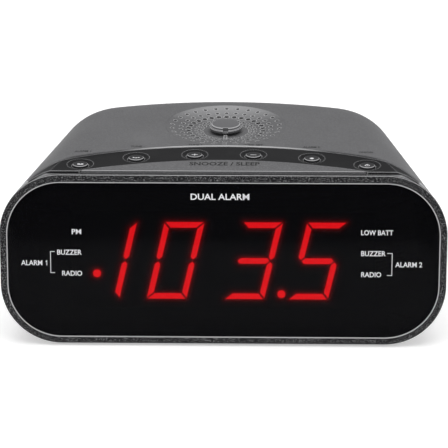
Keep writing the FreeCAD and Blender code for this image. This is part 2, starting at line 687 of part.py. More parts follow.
def speaker_frame():
    front = SPEAKER_FRONT_Z
    profile = [
        (11.0, front - 14.0), (14.0, front - 14.0), (SPEAKER_R - 3.5, front - 1.0),
        (SPEAKER_R, front - 1.0), (SPEAKER_R, front), (SPEAKER_R - 3.6, front),
        (SPEAKER_R - 4.2, front - 0.5), (13.6, front - 13.0), (11.0, front - 13.0),
    ]
    frame = turned(profile, 0, SPEAKER_Y, 0)
    ears = [tube(4.0, 0, front - 1.0, front, x, y) for x, y in SPEAKER_POSTS]
    links = box(-24.5, 24.5, SPEAKER_Y - 24.5, SPEAKER_Y + 24.5, front - 1, front)
    web = links.cut(tube(SPEAKER_R - 1, 0, 50, 60, 0, SPEAKER_Y))
    frame = fuse([frame, web] + ears)
    holes = [post_hole(x, y, 50, 60, 1.5) for x, y in SPEAKER_POSTS]
    windows = []
    for i in range(4):
        window = box(12, 30, -5, 5, front - 10, front - 4)
        window.rotate(V(0, 0, 0), V(0, 0, 1), i * 90)
        window.translate(V(0, SPEAKER_Y, 0))
        windows.append(window)
    return frame.cut(holes + windows)


def speaker_cone():
    front = SPEAKER_FRONT_Z
    profile = [
        (0, front - 8.6), (5.8, front - 10.4), (5.8, front - 15.4), (6.3, front - 15.4),
        (6.3, front - 10.4), (8.0, front - 10.4), (20.5, front - 2.4), (21.0, front - 1.2),
        (22.2, front - 0.4), (23.4, front - 0.6), (24.2, front - 0.4), (24.2, front),
        (23.4, front - 0.1), (22.2, front + 0.2), (20.7, front - 0.8), (20.2, front - 1.9),
        (7.8, front - 9.8), (6.0, front - 9.0), (3.0, front - 7.6), (0, front - 7.2),
    ]
    return turned(profile, 0, SPEAKER_Y, 0)


def speaker_magnet():
    low = SPEAKER_FRONT_Z - 24.0
    yoke = tube(14.0, 0, low, low + 3, 0, SPEAKER_Y)
    ring = tube(15.5, 8.0, low + 3, low + 8, 0, SPEAKER_Y)
    plate = tube(13.0, 6.6, low + 8, low + 10, 0, SPEAKER_Y)
    pole = tube(5.6, 0, low, low + 10.5, 0, SPEAKER_Y)
    return fuse([yoke, ring, plate, pole])


def speaker_screws():
    screws = []
    for x, y in SPEAKER_POSTS:
        head_z = SPEAKER_FRONT_Z - 1
        screws.append(fuse([tube(1.2, 0, head_z, head_z + 6, x, y),
                            tube(2.4, 0, head_z - 1.6, head_z, x, y)]))
    return Part.makeCompound(screws)


# ---- main board and power -----------------------------------------------------------------------
def main_board():
    board = box(-64, 64, 19, 46, MAIN_BOARD_Z, MAIN_TOP_Z)
    notch = box(-20, 20, 40, 47, MAIN_BOARD_Z - 1, MAIN_TOP_Z + 1)
    holes = [post_hole(x, y, 10, 30, 1.3) for x, y in BOARD_POSTS]
    return board.cut([notch] + holes)


def board_screws():
    screws = []
    for x, y in BOARD_POSTS:
        screws.append(fuse([tube(1.0, 0, MAIN_TOP_Z - 5, MAIN_TOP_Z, x, y),
                            tube(2.2, 0, MAIN_TOP_Z, MAIN_TOP_Z + 1.5, x, y)]))
    for x, y in KEY_BOARD_POSTS:
        screws.append(fuse([tube(1.0, 0, KEY_BOARD_Z, KEY_BOARD_Z + 5, x, y),
                            tube(2.2, 0, KEY_BOARD_Z - 1.5, KEY_BOARD_Z, x, y)]))
    return Part.makeCompound(screws)


def controller_chip():
    body = box(-16, -2, 24, 34, MAIN_TOP_Z + 0.4, MAIN_TOP_Z + 2.6)
    legs = [box(-15.5 + i * 1.27 * 2, -15.0 + i * 1.27 * 2, 22.5, 35.5, MAIN_TOP_Z, MAIN_TOP_Z + 0.8)
            for i in range(6)]
    return fuse([body] + legs)


def tuner_can():
    """Screening can of the radio receiver, open underneath."""
    can = box(8, 30, 23, 37, MAIN_TOP_Z, MAIN_TOP_Z + 7)
    return can.cut(box(8.4, 29.6, 23.4, 36.6, MAIN_TOP_Z - 1, MAIN_TOP_Z + 6.6))


def capacitors():
    spots = ((-50, 30, 4.0, 12), (-40, 30, 4.0, 12), (-48, 40, 2.5, 8),
             (40, 26, 2.5, 8), (48, 34, 3.2, 7))
    cans = [tube(r, 0, MAIN_TOP_Z, MAIN_TOP_Z + h, x, y) for x, y, r, h in spots]
    return Part.makeCompound(cans)


def antenna_rod(r, x0, x1):
    y, z = ANTENNA_ROD[2:]
    return Part.makeCylinder(r, x1 - x0, V(x0, y, z), V(1, 0, 0))


def ferrite_antenna():
    return antenna_rod(4.0, *ANTENNA_ROD[:2])


def antenna_coil():
    return antenna_rod(5.2, 16, 30).cut(antenna_rod(4.0, 10, 40))


def antenna_clips():
    """Two saddles that hold the aerial rod above the main board."""
    y, z = ANTENNA_ROD[2:]
    blocks = [box(x, x + 3, y - 3, y + 3, MAIN_TOP_Z, z) for x in (34, 57)]
    return Part.makeCompound([b.cut(antenna_rod(4.0, 10, 70)) for b in blocks])


def display_ribbon():
    """Flat lead from the back of the display board to the main board."""
    back = DISPLAY_D + DISPLAY_T + BOARD_T
    lean = math.radians(FACE_LEAN)
    z = 30.0
    up = (z - FACE_Z + back * math.sin(lean)) / math.cos(lean)
    start = up * math.sin(lean) + back * math.cos(lean)
    t = 0.7
    points = [(start, z), (17.0, z), (22.0, z - 4), (22.0, MAIN_TOP_Z), (22.0 - t, MAIN_TOP_Z),
              (22.0 - t, z - 4 - 0.3), (17.0 - 0.3, z - t), (start - t * math.tan(lean), z - t)]
    line = [V(-32, y, h) for y, h in points]
    return Part.Face(Part.makePolygon(line + line[:1])).extrude(V(12, 0, 0))


def transformer_core():
    x, y, z = TRANSFORMER
    stack = box(x - 17.5, x + 17.5, y - 8, y + 8, z, z + 29)
    windows = [box(x + s * 8.7 - 2.9, x + s * 8.7 + 2.9, y - 9, y + 9, z + 5.8, z + 23.2)
               for s in (-1, 1)]
    return stack.cut(windows)


def transformer_winding():
    x, y, z = TRANSFORMER
    coil = box(x - 11.4, x + 11.4, y - 13.5, y + 13.5, z + 6.0, z + 23.0)
    return coil.cut(box(x - 5.8, x + 5.8, y - 8, y + 8, z, z + 30))


def transformer_bracket():
    """Bent strap over the core, with two feet on the floor of the case."""
    x, y, z = TRANSFORMER
    strap = box(x - 18.5, x + 18.5, y - 6, y + 6, z, z + 30)
    strap = strap.cut(box(x - 17.5, x + 17.5, y - 7, y + 7, z - 1, z + 29))
    foot = box(x - 11, x + 11, y - 6, y + 6, CASE_BOTTOM + WALL, z)
    return Part.makeCompound([strap, foot])


# ---- battery bay -------------------------------------------------------------------------------------
def battery_door():
    z0 = CASE_BOTTOM
    lid = box(-BAY_HALF_W, BAY_HALF_W, BAY_Y[0], BAY_Y[1], z0, z0 + DOOR_T)
    tongues = box(-BAY_HALF_W - 1.2, BAY_HALF_W + 1.2, BAY_Y[0], BAY_Y[1],
                  z0 + DOOR_T - 0.8, z0 + DOOR_T)
    grips = [box(-7, 7, y, y + 0.8, z0 - 1, z0 + 0.5) for y in (70, 72, 74, 76, 78)]
    return fuse([lid, tongues]).cut(grips)


def battery_contacts():
    """Two leaf springs at the front end of the bay and two plates at the back end."""
    pieces = []
    for x in (-5.5, 5.5):
        plate = box(x - 4, x + 4, BAY_Y[1] - 0.5, BAY_Y[1], 4.6, 14.6)
        nub = Part.makeCylinder(1.8, 0.8, V(x, BAY_Y[1] - 1.1, 9.6), V(0, 1, 0))
        pieces.append(fuse([plate, nub]))
        y = BAY_Y[0]
        leaf = [V(x - 3.5, y, 4.6), V(x - 3.5, y, 14.6), V(x - 3.5, y + 0.5, 14.6),
                V(x - 3.5, y + 3.4, 9.6), V(x - 3.5, y + 0.5, 5.6), V(x - 3.5, y + 0.5, 4.6)]
        inner = [V(x - 3.5, y + 0.5, 13.4), V(x - 3.5, y + 2.7, 9.6), V(x - 3.5, y + 0.5, 6.6)]
        spring = Part.Face(Part.makePolygon(leaf + leaf[:1])).extrude(V(7, 0, 0))
        hole = Part.Face(Part.makePolygon(inner + inner[:1])).extrude(V(7, 0, 0))
        pieces.append(spring.cut(hole))
    return Part.makeCompound(pieces)


def rubber_feet():
    feet = []
    for x, y in FEET:
        feet.append(turned([(0, 0), (FOOT_R - 0.6, 0), (FOOT_R, 0.6), (FOOT_R, CASE_BOTTOM + 1),
                            (0, CASE_BOTTOM + 1)], x, y, 0))
    return Part.makeCompound(feet)


def case_screws():
    screws = []
    for x, y in POSTS:
        shank = tube(SCREW_R, 0, SCREW_SEAT_Z, SPLIT_Z + 9, x, y)
        head = tube(SCREW_HEAD_R, 0, SCREW_SEAT_Z - 2.2, SCREW_SEAT_Z, x, y)
        slot = box(x - 2, x + 2, y - 0.4, y + 0.4, SCREW_SEAT_Z - 3, SCREW_SEAT_Z - 1.2)
        cross = box(x - 0.4, x + 0.4, y - 2, y + 2, SCREW_SEAT_Z - 3, SCREW_SEAT_Z - 1.2)
        screws.append(fuse([shank, head]).cut([slot, cross]))
    return Part.makeCompound(screws)


def main():
    os.makedirs("parts", exist_ok=True)
    pieces = {
        "top_cover": top_cover, "bottom_cover": bottom_cover, "front_bezel": front_bezel,
        "display_lens": display_lens, "display_segments": display_segments,
        "led_display": led_display, "display_mask": display_mask,
        "display_board": display_board, "face_screws": face_screws,
        "control_panel": control_panel, "snooze_bar": snooze_bar, "key_board": key_board,
        "tactile_switches": tactile_switches, "speaker_grille": speaker_grille,
        "volume_knob": volume_knob, "volume_shaft": volume_shaft,
        "volume_control": volume_control, "speaker_frame": speaker_frame,
        "speaker_cone": speaker_cone, "speaker_magnet": speaker_magnet,
        "speaker_screws": speaker_screws, "main_board": main_board,
        "board_screws": board_screws, "controller_chip": controller_chip,
        "tuner_can": tuner_can, "capacitors": capacitors, "ferrite_antenna": ferrite_antenna,
        "antenna_coil": antenna_coil, "antenna_clips": antenna_clips,
        "display_ribbon": display_ribbon, "transformer_core": transformer_core,
        "transformer_winding": transformer_winding, "transformer_bracket": transformer_bracket,
        "battery_door": battery_door, "battery_contacts": battery_contacts,
        "rubber_feet": rubber_feet, "case_screws": case_screws,
    }
    for name, make in pieces.items():
        save(name, make())
    for name in KEYS:
        save(name, button(name))
    save("cord_gland", bush(GLAND_X, GLAND_R, GLAND_FLANGE_R, GLAND_BORE_R))
    save("antenna_grommet", bush(ANTENNA_X, GROMMET_R, GROMMET_FLANGE_R, GROMMET_BORE_R))


main()
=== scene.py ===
"""Looks of a bedside clock radio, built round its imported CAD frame."""

import json
import math

import bmesh
import bpy
from mathutils import Matrix, Vector
from mathutils.bvhtree import BVHTree

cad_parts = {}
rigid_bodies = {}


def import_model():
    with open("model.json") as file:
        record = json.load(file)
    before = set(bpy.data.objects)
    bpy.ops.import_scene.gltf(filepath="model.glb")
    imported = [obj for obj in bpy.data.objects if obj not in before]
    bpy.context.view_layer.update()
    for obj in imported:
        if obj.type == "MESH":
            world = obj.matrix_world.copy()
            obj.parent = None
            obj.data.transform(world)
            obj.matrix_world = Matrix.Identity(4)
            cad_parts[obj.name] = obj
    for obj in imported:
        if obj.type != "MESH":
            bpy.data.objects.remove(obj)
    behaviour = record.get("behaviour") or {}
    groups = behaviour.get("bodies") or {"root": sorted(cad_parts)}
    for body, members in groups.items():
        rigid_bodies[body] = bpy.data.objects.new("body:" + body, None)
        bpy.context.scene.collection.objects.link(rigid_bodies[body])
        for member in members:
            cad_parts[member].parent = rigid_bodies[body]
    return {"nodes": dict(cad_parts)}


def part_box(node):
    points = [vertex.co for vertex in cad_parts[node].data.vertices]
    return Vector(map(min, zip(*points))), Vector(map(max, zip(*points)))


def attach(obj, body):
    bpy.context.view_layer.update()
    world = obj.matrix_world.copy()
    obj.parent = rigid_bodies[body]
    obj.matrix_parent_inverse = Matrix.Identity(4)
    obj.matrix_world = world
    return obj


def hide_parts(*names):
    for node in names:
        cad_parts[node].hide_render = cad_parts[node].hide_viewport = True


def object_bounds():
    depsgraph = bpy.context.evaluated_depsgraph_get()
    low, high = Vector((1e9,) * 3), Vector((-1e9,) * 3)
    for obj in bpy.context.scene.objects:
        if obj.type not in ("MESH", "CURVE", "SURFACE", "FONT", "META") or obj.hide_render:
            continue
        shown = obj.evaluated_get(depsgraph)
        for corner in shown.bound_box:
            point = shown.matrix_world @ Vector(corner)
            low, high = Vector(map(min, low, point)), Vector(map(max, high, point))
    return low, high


bl_info = {
    "name": "Clock Radio Looks",
    "version": (1, 0, 0),
    "blender": (4, 5, 0),
    "location": "3D View > Sidebar > Clock Radio",
    "description": "Builds the visible pieces and finishes of a bedside clock radio",
    "category": "Object",
}

for leftover in list(bpy.data.objects):
    bpy.data.objects.remove(leftover)
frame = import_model()
CAD_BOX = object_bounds()

MM = 0.001

# ---- the leaning face: x to the right, y up the face, z outwards -------------------------
FACE_LEAN = math.radians(8.4)
FACE_HALF_W = 87.4
FACE_HALF_H = 34.0
FACE_R = 24.0
CORNER_SEGMENTS = 28
RIM = 3.15               # visible width of the bezel round the lens
BEZEL_BACK = 2.0         # depth of the back of the bezel's rim
LENS_GAP = 0.05
LENS_FRONT = 0.3         # depths behind the face plane
LENS_BACK = 2.8
SEGMENT_FRONT = 3.0

# ---- key panel: an oval about a point on the middle line, from the middle of the face ------
CAD_FRONT = 52.25 * MM   # from the middle of the face to the middle of the depth
PANEL_CENTRE_Y = -4.2 * MM
PANEL_GAP = 0.05 * MM

# ---- keys --------------------------------------------------------------------------------
KEY_NODES = ("alarm_1_button", "tune_down_button", "tune_up_button",
             "time_button", "alarm_2_button", "power_button")
KEY_R = 3.0
KEY_FLANGE = 1.0
KEY_FLANGE_DROP = 4.65   # top of the flange under the top of the cap
KEY_SOFT = 0.4
KEY_DISH = 0.35

# ---- printed marks ---------------------------------------------------------------------------
MARK_FLATTEN = 0.5       # share kept of a mark's drawn thickness
MARK_CLEARANCE = 0.000002
DROP_FROM = 0.01         # height above the object from which a mark is dropped


class CaseSettings(bpy.types.PropertyGroup):
    """Colours and grain of the moulded case."""

    housing: bpy.props.FloatVectorProperty(
        name="Housing", description="Colour of the two covers, the grille and the snooze bar",
        subtype="COLOR", size=3, min=0, max=1, default=(0.135, 0.135, 0.14))
    panel: bpy.props.FloatVectorProperty(
        name="Panel", description="Colour of the curved key panel",
        subtype="COLOR", size=3, min=0, max=1, default=(0.014, 0.014, 0.015))
    bezel: bpy.props.FloatVectorProperty(
        name="Bezel", description="Colour of the frame round the lens",
        subtype="COLOR", size=3, min=0, max=1, default=(0.012, 0.012, 0.013))
    grain: bpy.props.FloatProperty(
        name="Grain", description="Size of one cell of the moulded grain",
        subtype="DISTANCE", min=0.0001, default=0.00062)
    edge: bpy.props.FloatProperty(
        name="Edge", description="Rounding of the moulded edges",
        subtype="DISTANCE", min=0, default=0.00025)


class DisplaySettings(bpy.types.PropertyGroup):
    """The lens, the lit digits and the printing round them."""

    lit: bpy.props.FloatVectorProperty(
        name="Lit colour", description="Colour of the lit bars",
        subtype="COLOR", size=3, min=0, max=1, default=(1.0, 0.004, 0.008))
    strength: bpy.props.FloatProperty(
        name="Strength", description="Emission of the lit bars", min=0, default=9.2)
    glow: bpy.props.FloatProperty(
        name="Glow", description="Emission of the film right beside a lit bar", min=0, default=1.5)
    glow_reach: bpy.props.FloatProperty(
        name="Glow reach", description="Distance over which the glow fades",
        subtype="DISTANCE", min=0.0001, default=0.0006)
    smoke: bpy.props.FloatProperty(
        name="Smoke", description="How much light the lens holds back", subtype="FACTOR",
        min=0, max=1, default=0.72)
    ink: bpy.props.FloatVectorProperty(
        name="Ink", description="Colour of the printed words",
        subtype="COLOR", size=3, min=0, max=1, default=(0.8, 0.8, 0.82))


class ControlSettings(bpy.types.PropertyGroup):
    """The keys and the volume knob."""

    key: bpy.props.FloatVectorProperty(
        name="Keys", description="Colour of the six keys",
        subtype="COLOR", size=3, min=0, max=1, default=(0.03, 0.03, 0.032))
    knob: bpy.props.FloatVectorProperty(
        name="Knob", description="Colour of the volume knob",
        subtype="COLOR", size=3, min=0, max=1, default=(0.13, 0.13, 0.135))
    soften: bpy.props.FloatProperty(
        name="Soften", description="Rounding of the knob's edges",
        subtype="DISTANCE", min=0, default=0.00018)


class StageSettings(bpy.types.PropertyGroup):
    """Camera, floor and lights."""

    yaw: bpy.props.FloatProperty(
        name="Yaw", description="Turn of the view about the upright axis",
        subtype="ANGLE", default=math.radians(-1.28))
    pitch: bpy.props.FloatProperty(
        name="Pitch", description="How far the view looks down", subtype="ANGLE",
        default=math.radians(21.9))
    roll: bpy.props.FloatProperty(
        name="Roll", description="Turn of the camera about its own axis", subtype="ANGLE",
        default=math.radians(-0.19))
    distance: bpy.props.FloatProperty(
        name="Distance", description="From the camera to the point it looks at",
        subtype="DISTANCE", default=0.832)
    focal_length: bpy.props.FloatProperty(
        name="Focal length", description="Of the camera, in millimetres", default=171.2)
    key_power: bpy.props.FloatProperty(
        name="Key light", description="Power of the large light above", subtype="POWER",
        default=7.4)
    fill_power: bpy.props.FloatProperty(
        name="Fill light", description="Power of the two lights in front", subtype="POWER",
        default=2.0)
    ambient: bpy.props.FloatProperty(
        name="Ambient", description="Strength of the even light all round", min=0, default=0.45)


SETTINGS = {
    "radio_case": CaseSettings,
    "radio_display": DisplaySettings,
    "radio_controls": ControlSettings,
    "radio_stage": StageSettings,
}


# ---- meshes ------------------------------------------------------------------------------
def face_matrix(depth):
    """Places a shape drawn flat (x, up, outwards) at a depth behind the face plane."""
    low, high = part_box("display_lens")
    middle = (low + high) / 2
    lens_depth = (LENS_FRONT + LENS_BACK) / 2 * MM
    cos, sin = math.cos(FACE_LEAN), math.sin(FACE_LEAN)
    inward = Vector((0, cos, -sin))
    place = Matrix(((1, 0, 0, 0), (0, sin, -cos, 0), (0, cos, sin, 0), (0, 0, 0, 1)))
    origin = middle + inward * (depth * MM - lens_depth)
    return Matrix.Translation((0, origin.y, origin.z)) @ place @ Matrix.Scale(MM, 4)


def tidy_normals(bm, merge=1e-6):
    """Merge what lies together and point every face outwards."""
    bmesh.ops.remove_doubles(bm, verts=bm.verts, dist=merge)
    bmesh.ops.recalc_face_normals(bm, faces=bm.faces)


def mark_sharp(bm, angle=math.radians(32)):
    """Smooth faces with a crease wherever the surface turns by more than an angle."""
    for face in bm.faces:
        face.smooth = True
    for edge in bm.edges:
        edge.smooth = len(edge.link_faces) == 2 and edge.calc_face_angle(0) < angle


def paint_edge_highlights(bm, above=-1.0, low=0.25, high=0.93):
    """Give the second finish, a painted highlight, to the upward slanting faces of rounded edges above a
    height.
    """
    bm.normal_update()
    for face in bm.faces:
        slanting = low < face.normal.z < high
        if slanting and face.calc_center_median().z > above:
            face.material_index = 1


def piece(name, bm, materials, body, slot, *nodes):
    """Make a finished piece out of a bmesh and hang it on its body."""
    mark_sharp(bm)
    mesh = bpy.data.meshes.new(name)
    bm.to_mesh(mesh)
    bm.free()
    for material in materials:
        mesh.materials.append(material)
    made = bpy.data.objects.new(name, mesh)
    bpy.context.scene.collection.objects.link(made)
    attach(made, body)
    if nodes:
        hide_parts(*nodes)
    return made


def rounded_face(bm, half_w, half_h, radius, segments=CORNER_SEGMENTS):
    """A flat rounded rectangle facing +z; returns its face."""
    before = set(bm.faces)
    made = bmesh.ops.create_grid(bm, x_segments=1, y_segments=1, size=1.0)
    bmesh.ops.scale(bm, vec=(half_w, half_h, 1), verts=made["verts"])
    bmesh.ops.bevel(bm, geom=made["verts"], offset=radius, offset_type="OFFSET", affect="VERTICES",
                    segments=segments, profile=0.5, material=-1)
    return (set(bm.faces) - before).pop()


def step(bm, face, inset, rise):
    """Carry a face on by an inset and a rise, leaving a wall behind it."""
    bmesh.ops.inset_individual(bm, faces=[face], thickness=inset, depth=rise, use_even_offset=True)


def slab(bm, face, moves):
    """Closed solid: a flat face, carried on by a list of (inset, rise) moves."""
    copy = bmesh.ops.duplicate(bm, geom=[face])
    backs = [g for g in copy["geom"] if isinstance(g, bmesh.types.BMFace)]
    bmesh.ops.reverse_faces(bm, faces=backs)
    for inset, rise in moves:
        step(bm, face, inset, rise)


def lathe(bm, profile, centre=(0.0, 0.0), steps=96):
    """Turn a profile of (radius, height) points about an upright axis."""
    x, y = centre
    verts = [bm.verts.new((x + r, y, z)) for r, z in profile]
    edges = [bm.edges.new(pair) for pair in zip(verts, verts[1:])]
    bmesh.ops.spin(bm, geom=verts + edges, cent=(x, y, 0), axis=(0, 0, 1), angle=2 * math.pi,
                   steps=steps, use_merge=True)


def rounded(corners, radius, steps=4):
    """Profile points with its marked corners rounded; a corner is (r, z, round it or not)."""
    points = []
    for i, (r, z, soft) in enumerate(corners):
        if not soft:
            points.append((r, z))
            continue
        here = Vector((r, z))
        back = (Vector(corners[i - 1][:2]) - here).normalized() * radius
        ahead = (Vector(corners[i + 1][:2]) - here).normalized() * radius
        for k in range(steps + 1):
            t = k / steps
            point = here + back * (1 - t) ** 2 + ahead * t ** 2
            points.append((point.x, point.y))
    return points


def soft_copy(node, width, angle=math.radians(40), segments=2):
    """A merged copy of a CAD node, in metres, with its sharp edges rounded."""
    bm = bmesh.new()
    bm.from_mesh(frame["nodes"][node].data)
    bmesh.ops.remove_doubles(bm, verts=bm.verts, dist=2e-7)
    bmesh.ops.dissolve_limit(bm, angle_limit=math.radians(0.6), verts=bm.verts, edges=bm.edges)
    sharp = [e for e in bm.edges if len(e.link_faces) == 2 and e.calc_face_angle(0) > angle]
    bmesh.ops.bevel(bm, geom=sharp, offset=width, offset_type="OFFSET", affect="EDGES",
                    segments=segments, profile=0.5, material=-1, clamp_overlap=True)
    bmesh.ops.remove_doubles(bm, verts=bm.verts, dist=2e-7)
    return bm


def word_mesh(text, height, width=None, lift=0.02, spacing=1.0, bold=0.0):
    """Flat word of a cap height and an optional width, its middle at the origin, in millimetres."""
    curve = bpy.data.curves.new("word", "FONT")
    curve.body = text
    curve.resolution_u = 3
    curve.space_character = spacing
    curve.offset = bold
    maker = bpy.data.objects.new("word", curve)
    bpy.context.scene.collection.objects.link(maker)
    mesh = bpy.data.meshes.new_from_object(maker)
    bpy.data.objects.remove(maker)
    bpy.data.curves.remove(curve)
    bm = bmesh.new()
    bm.from_mesh(mesh)
    bpy.data.meshes.remove(mesh)
    bmesh.ops.remove_doubles(bm, verts=bm.verts, dist=1e-5)
    xs = [v.co.x for v in bm.verts]
    ys = [v.co.y for v in bm.verts]
    tall = height / (max(ys) - min(ys))
    wide = width / (max(xs) - min(xs)) if width else tall
    middle = Vector(((max(xs) + min(xs)) / 2, (max(ys) + min(ys)) / 2, 0))
    bmesh.ops.translate(bm, vec=-middle, verts=bm.verts)
    bmesh.ops.scale(bm, vec=(wide, tall, 1), verts=bm.verts)
    raised = bmesh.ops.extrude_face_region(bm, geom=list(bm.faces), use_keep_orig=True)
    top = [g for g in raised["geom"] if isinstance(g, bmesh.types.BMVert)]
    bmesh.ops.translate(bm, vec=(0, 0, lift), verts=top)
    bmesh.ops.recalc_face_normals(bm, faces=bm.faces)
    return bm


def add_into(bm, other, matrix):
    """Put another bmesh into this one, through a matrix."""
    bmesh.ops.transform(other, matrix=matrix, verts=other.verts)
    carrier = bpy.data.meshes.new("carrier")
    other.to_mesh(carrier)
    other.free()
    bm.from_mesh(carrier)
    bpy.data.meshes.remove(carrier)


def bar_mesh(x0, y0, x1, y1, lift=0.02):
    """Thin flat bar between two corners, in millimetres."""
    bm = bmesh.new()
    made = bmesh.ops.create_cube(bm, size=1.0)
    bmesh.ops.scale(bm, vec=(x1 - x0, y1 - y0, lift), verts=made["verts"])
    bmesh.ops.translate(bm, vec=((x0 + x1) / 2, (y0 + y1) / 2, lift / 2), verts=made["verts"])
    return bm


def disc_mesh(x, y, radius, lift=0.02, hole=0.0):
    """Thin flat disc or ring, in millimetres."""
    bm = bmesh.new()
    if hole:
        profile = [(hole, 0), (radius, 0), (radius, lift), (hole, lift), (hole, 0)]
    else:
        profile = [(0, 0), (radius, 0), (radius, lift), (0, lift)]
    lathe(bm, profile, (x, y), steps=24)
    tidy_normals(bm, 1e-5)
    return bm


# ---- finishes ----------------------------------------------------------------------------
EDGE_HIGHLIGHT = 0.0006       # width of the band of painted highlight on an edge
HOLE_HIGHLIGHT = 0.0007       # and of the painted highlight round each sound hole
REAR_PAINTED_LIGHT = 0.42        # strength of the painted light on the back of the dished grille
REAR_LIGHT_START = 0.35       # where that begins, as a share of the grille's radius
LINE_HIGHLIGHT = 0.9             # strength of the painted highlight lines on the covers
FRONT_HIGHLIGHT_DEPTHS = (0.0034, 0.0037)    # depths between which the painted highlight line at the front fades
RECESS_HIGHLIGHT_RING = (1.009, 1.014)     # the same round the recess, 1 being its edge
MIX_A = 6                # colour sockets of the Mix node
MIX_B = 7
MIX_RESULT = 2
# colours of the painted highlights on edges and on rims
EDGE_HIGHLIGHT_TONE = (0.45, 0.45, 0.46)
RIM_HIGHLIGHT_TONE = (0.62, 0.62, 0.63)
FLECK_TONE = (0.36, 0.36, 0.37)


class Finish:
    """A material under construction: its nodes, its shader and its pattern coordinates."""

    def __init__(self, name, colour, roughness, metallic=0.0, specular=0.5):
        self.material = bpy.data.materials.new(name)
        self.material.use_nodes = True
        self.tree = self.material.node_tree
        self.shader = self.tree.nodes["Principled BSDF"]
        self.colour = (*colour, 1.0)
        self.shader.inputs["Base Color"].default_value = self.colour
        self.shader.inputs["Roughness"].default_value = roughness
        self.shader.inputs["Metallic"].default_value = metallic
        self.shader.inputs["Specular IOR Level"].default_value = specular
        self.place = self.tree.nodes.new("ShaderNodeTexCoord").outputs["Object"]
        self.last_colour = None
        self.last_bump = None

    def node(self, kind, **inputs):
        """A node of a kind, its sockets linked or set by name."""
        made = self.tree.nodes.new(kind)
        for key, value in inputs.items():
            socket = made.inputs[key.replace("_", " ")]
            if hasattr(value, "is_output"):
                self.tree.links.new(value, socket)
            else:
                socket.default_value = value
        return made

    def stretched(self, scale):
        """Coordinates scaled by a different amount along each axis."""
        return self.node("ShaderNodeMapping", Vector=self.place, Scale=scale).outputs["Vector"]

    def noise(self, cell, detail=2.0, where=None, rough=0.5):
        """Cloudy pattern with cells of a size in metres."""
        made = self.node("ShaderNodeTexNoise", Vector=where or self.place, Scale=1 / cell,
                         Detail=detail, Roughness=rough)
        return made.outputs["Fac"]

    def cells(self, cell):
        """Distance pattern of packed cells of a size in metres."""
        made = self.node("ShaderNodeTexVoronoi", Vector=self.place, Scale=1 / cell)
        return made.outputs["Distance"]

    def ramp(self, factor, low, high, start=0.0, end=1.0):
        """Map a factor from start..end to low..high, held at both ends."""
        made = self.node("ShaderNodeMapRange", Value=factor)
        for key, value in (("From Min", start), ("From Max", end), ("To Min", low), ("To Max", high)):
            made.inputs[key].default_value = value
        return made.outputs["Result"]

    def times(self, first, second):
        """Product of two factors."""
        made = self.tree.nodes.new("ShaderNodeMath")
        made.operation = "MULTIPLY"
        self.tree.links.new(first, made.inputs[0])
        self.tree.links.new(second, made.inputs[1])
        return made.outputs[0]

    def axis(self, letter):
        """One coordinate of the pattern space, in metres."""
        return self.node("ShaderNodeSeparateXYZ", Vector=self.place).outputs[letter]

    def tint(self, factor, colour):
        """Lay a second colour over the base colour by a factor."""
        mix = self.tree.nodes.new("ShaderNodeMix")
        mix.data_type = "RGBA"
        self.tree.links.new(factor, mix.inputs["Factor"])
        if self.last_colour is None:
            mix.inputs[MIX_A].default_value = self.colour
        else:
            self.tree.links.new(self.last_colour, mix.inputs[MIX_A])
        mix.inputs[MIX_B].default_value = (*colour, 1.0)
        self.last_colour = mix.outputs[MIX_RESULT]
        self.tree.links.new(self.last_colour, self.shader.inputs["Base Color"])
        return self

    def edge_mask(self, radius, sharp=0.86, flat=0.985):
        """Near 1 on edges and lips within a radius, 0 elsewhere; sharp and flat are cosines."""
        soft = self.node("ShaderNodeBevel", Radius=radius)
        soft.samples = 6
        plain = self.tree.nodes.new("ShaderNodeNewGeometry")
        match = self.tree.nodes.new("ShaderNodeVectorMath")
        match.operation = "DOT_PRODUCT"
        self.tree.links.new(soft.outputs["Normal"], match.inputs[0])
        self.tree.links.new(plain.outputs["Normal"], match.inputs[1])
        return self.ramp(match.outputs["Value"], 1.0, 0.0, sharp, flat)

    def oval(self, centre, radii):
        """Distance from an upright oval's axis, 1 on the oval; centre and radii are (x, y)."""
        a, b = radii
        shift = (-centre[0] / a, -centre[1] / b, 0.0)
        spread = self.node("ShaderNodeMapping", Vector=self.place, Location=shift,
                           Scale=(1 / a, 1 / b, 0.0))
        length = self.tree.nodes.new("ShaderNodeVectorMath")
        length.operation = "LENGTH"
        self.tree.links.new(spread.outputs["Vector"], length.inputs[0])
        return length.outputs["Value"]

    def face_depth(self):
        """Depth in metres behind the leaning face plane."""
        inward = face_matrix(0).col[2].xyz.normalized() * -1
        dot = self.tree.nodes.new("ShaderNodeVectorMath")
        dot.operation = "DOT_PRODUCT"
        self.tree.links.new(self.place, dot.inputs[0])
        dot.inputs[1].default_value = inward
        start = face_matrix(0).translation.dot(inward)
        return self.ramp(dot.outputs["Value"], 0.0, 0.1, start, start + 0.1)

    def vary_roughness(self, factor, low, high, start=0.3, end=0.7):
        """Let a pattern carry the roughness from low to high."""
        self.tree.links.new(self.ramp(factor, low, high, start, end), self.shader.inputs["Roughness"])
        return self

    def bump(self, height, distance, strength=1.0):
        """Raise the surface by a pattern; distance in metres."""
        made = self.node("ShaderNodeBump", Height=height, Distance=distance, Strength=strength)
        if self.last_bump is not None:
            self.tree.links.new(self.last_bump, made.inputs["Normal"])
        self.last_bump = made.outputs["Normal"]
        self.tree.links.new(self.last_bump, self.shader.inputs["Normal"])
        return self


def shade(colour, by):
    """A colour made lighter or darker."""
    return tuple(min(1.0, c * by) for c in colour)


def grained_plastic(name, colour, roughness, cell, depth, fleck=0.0, specular=0.2):
    """Spark-eroded moulding: packed grain, pale flecks, cloudy tone and rubbed patches."""
    return grained(name, colour, roughness, cell, depth, fleck, specular).material


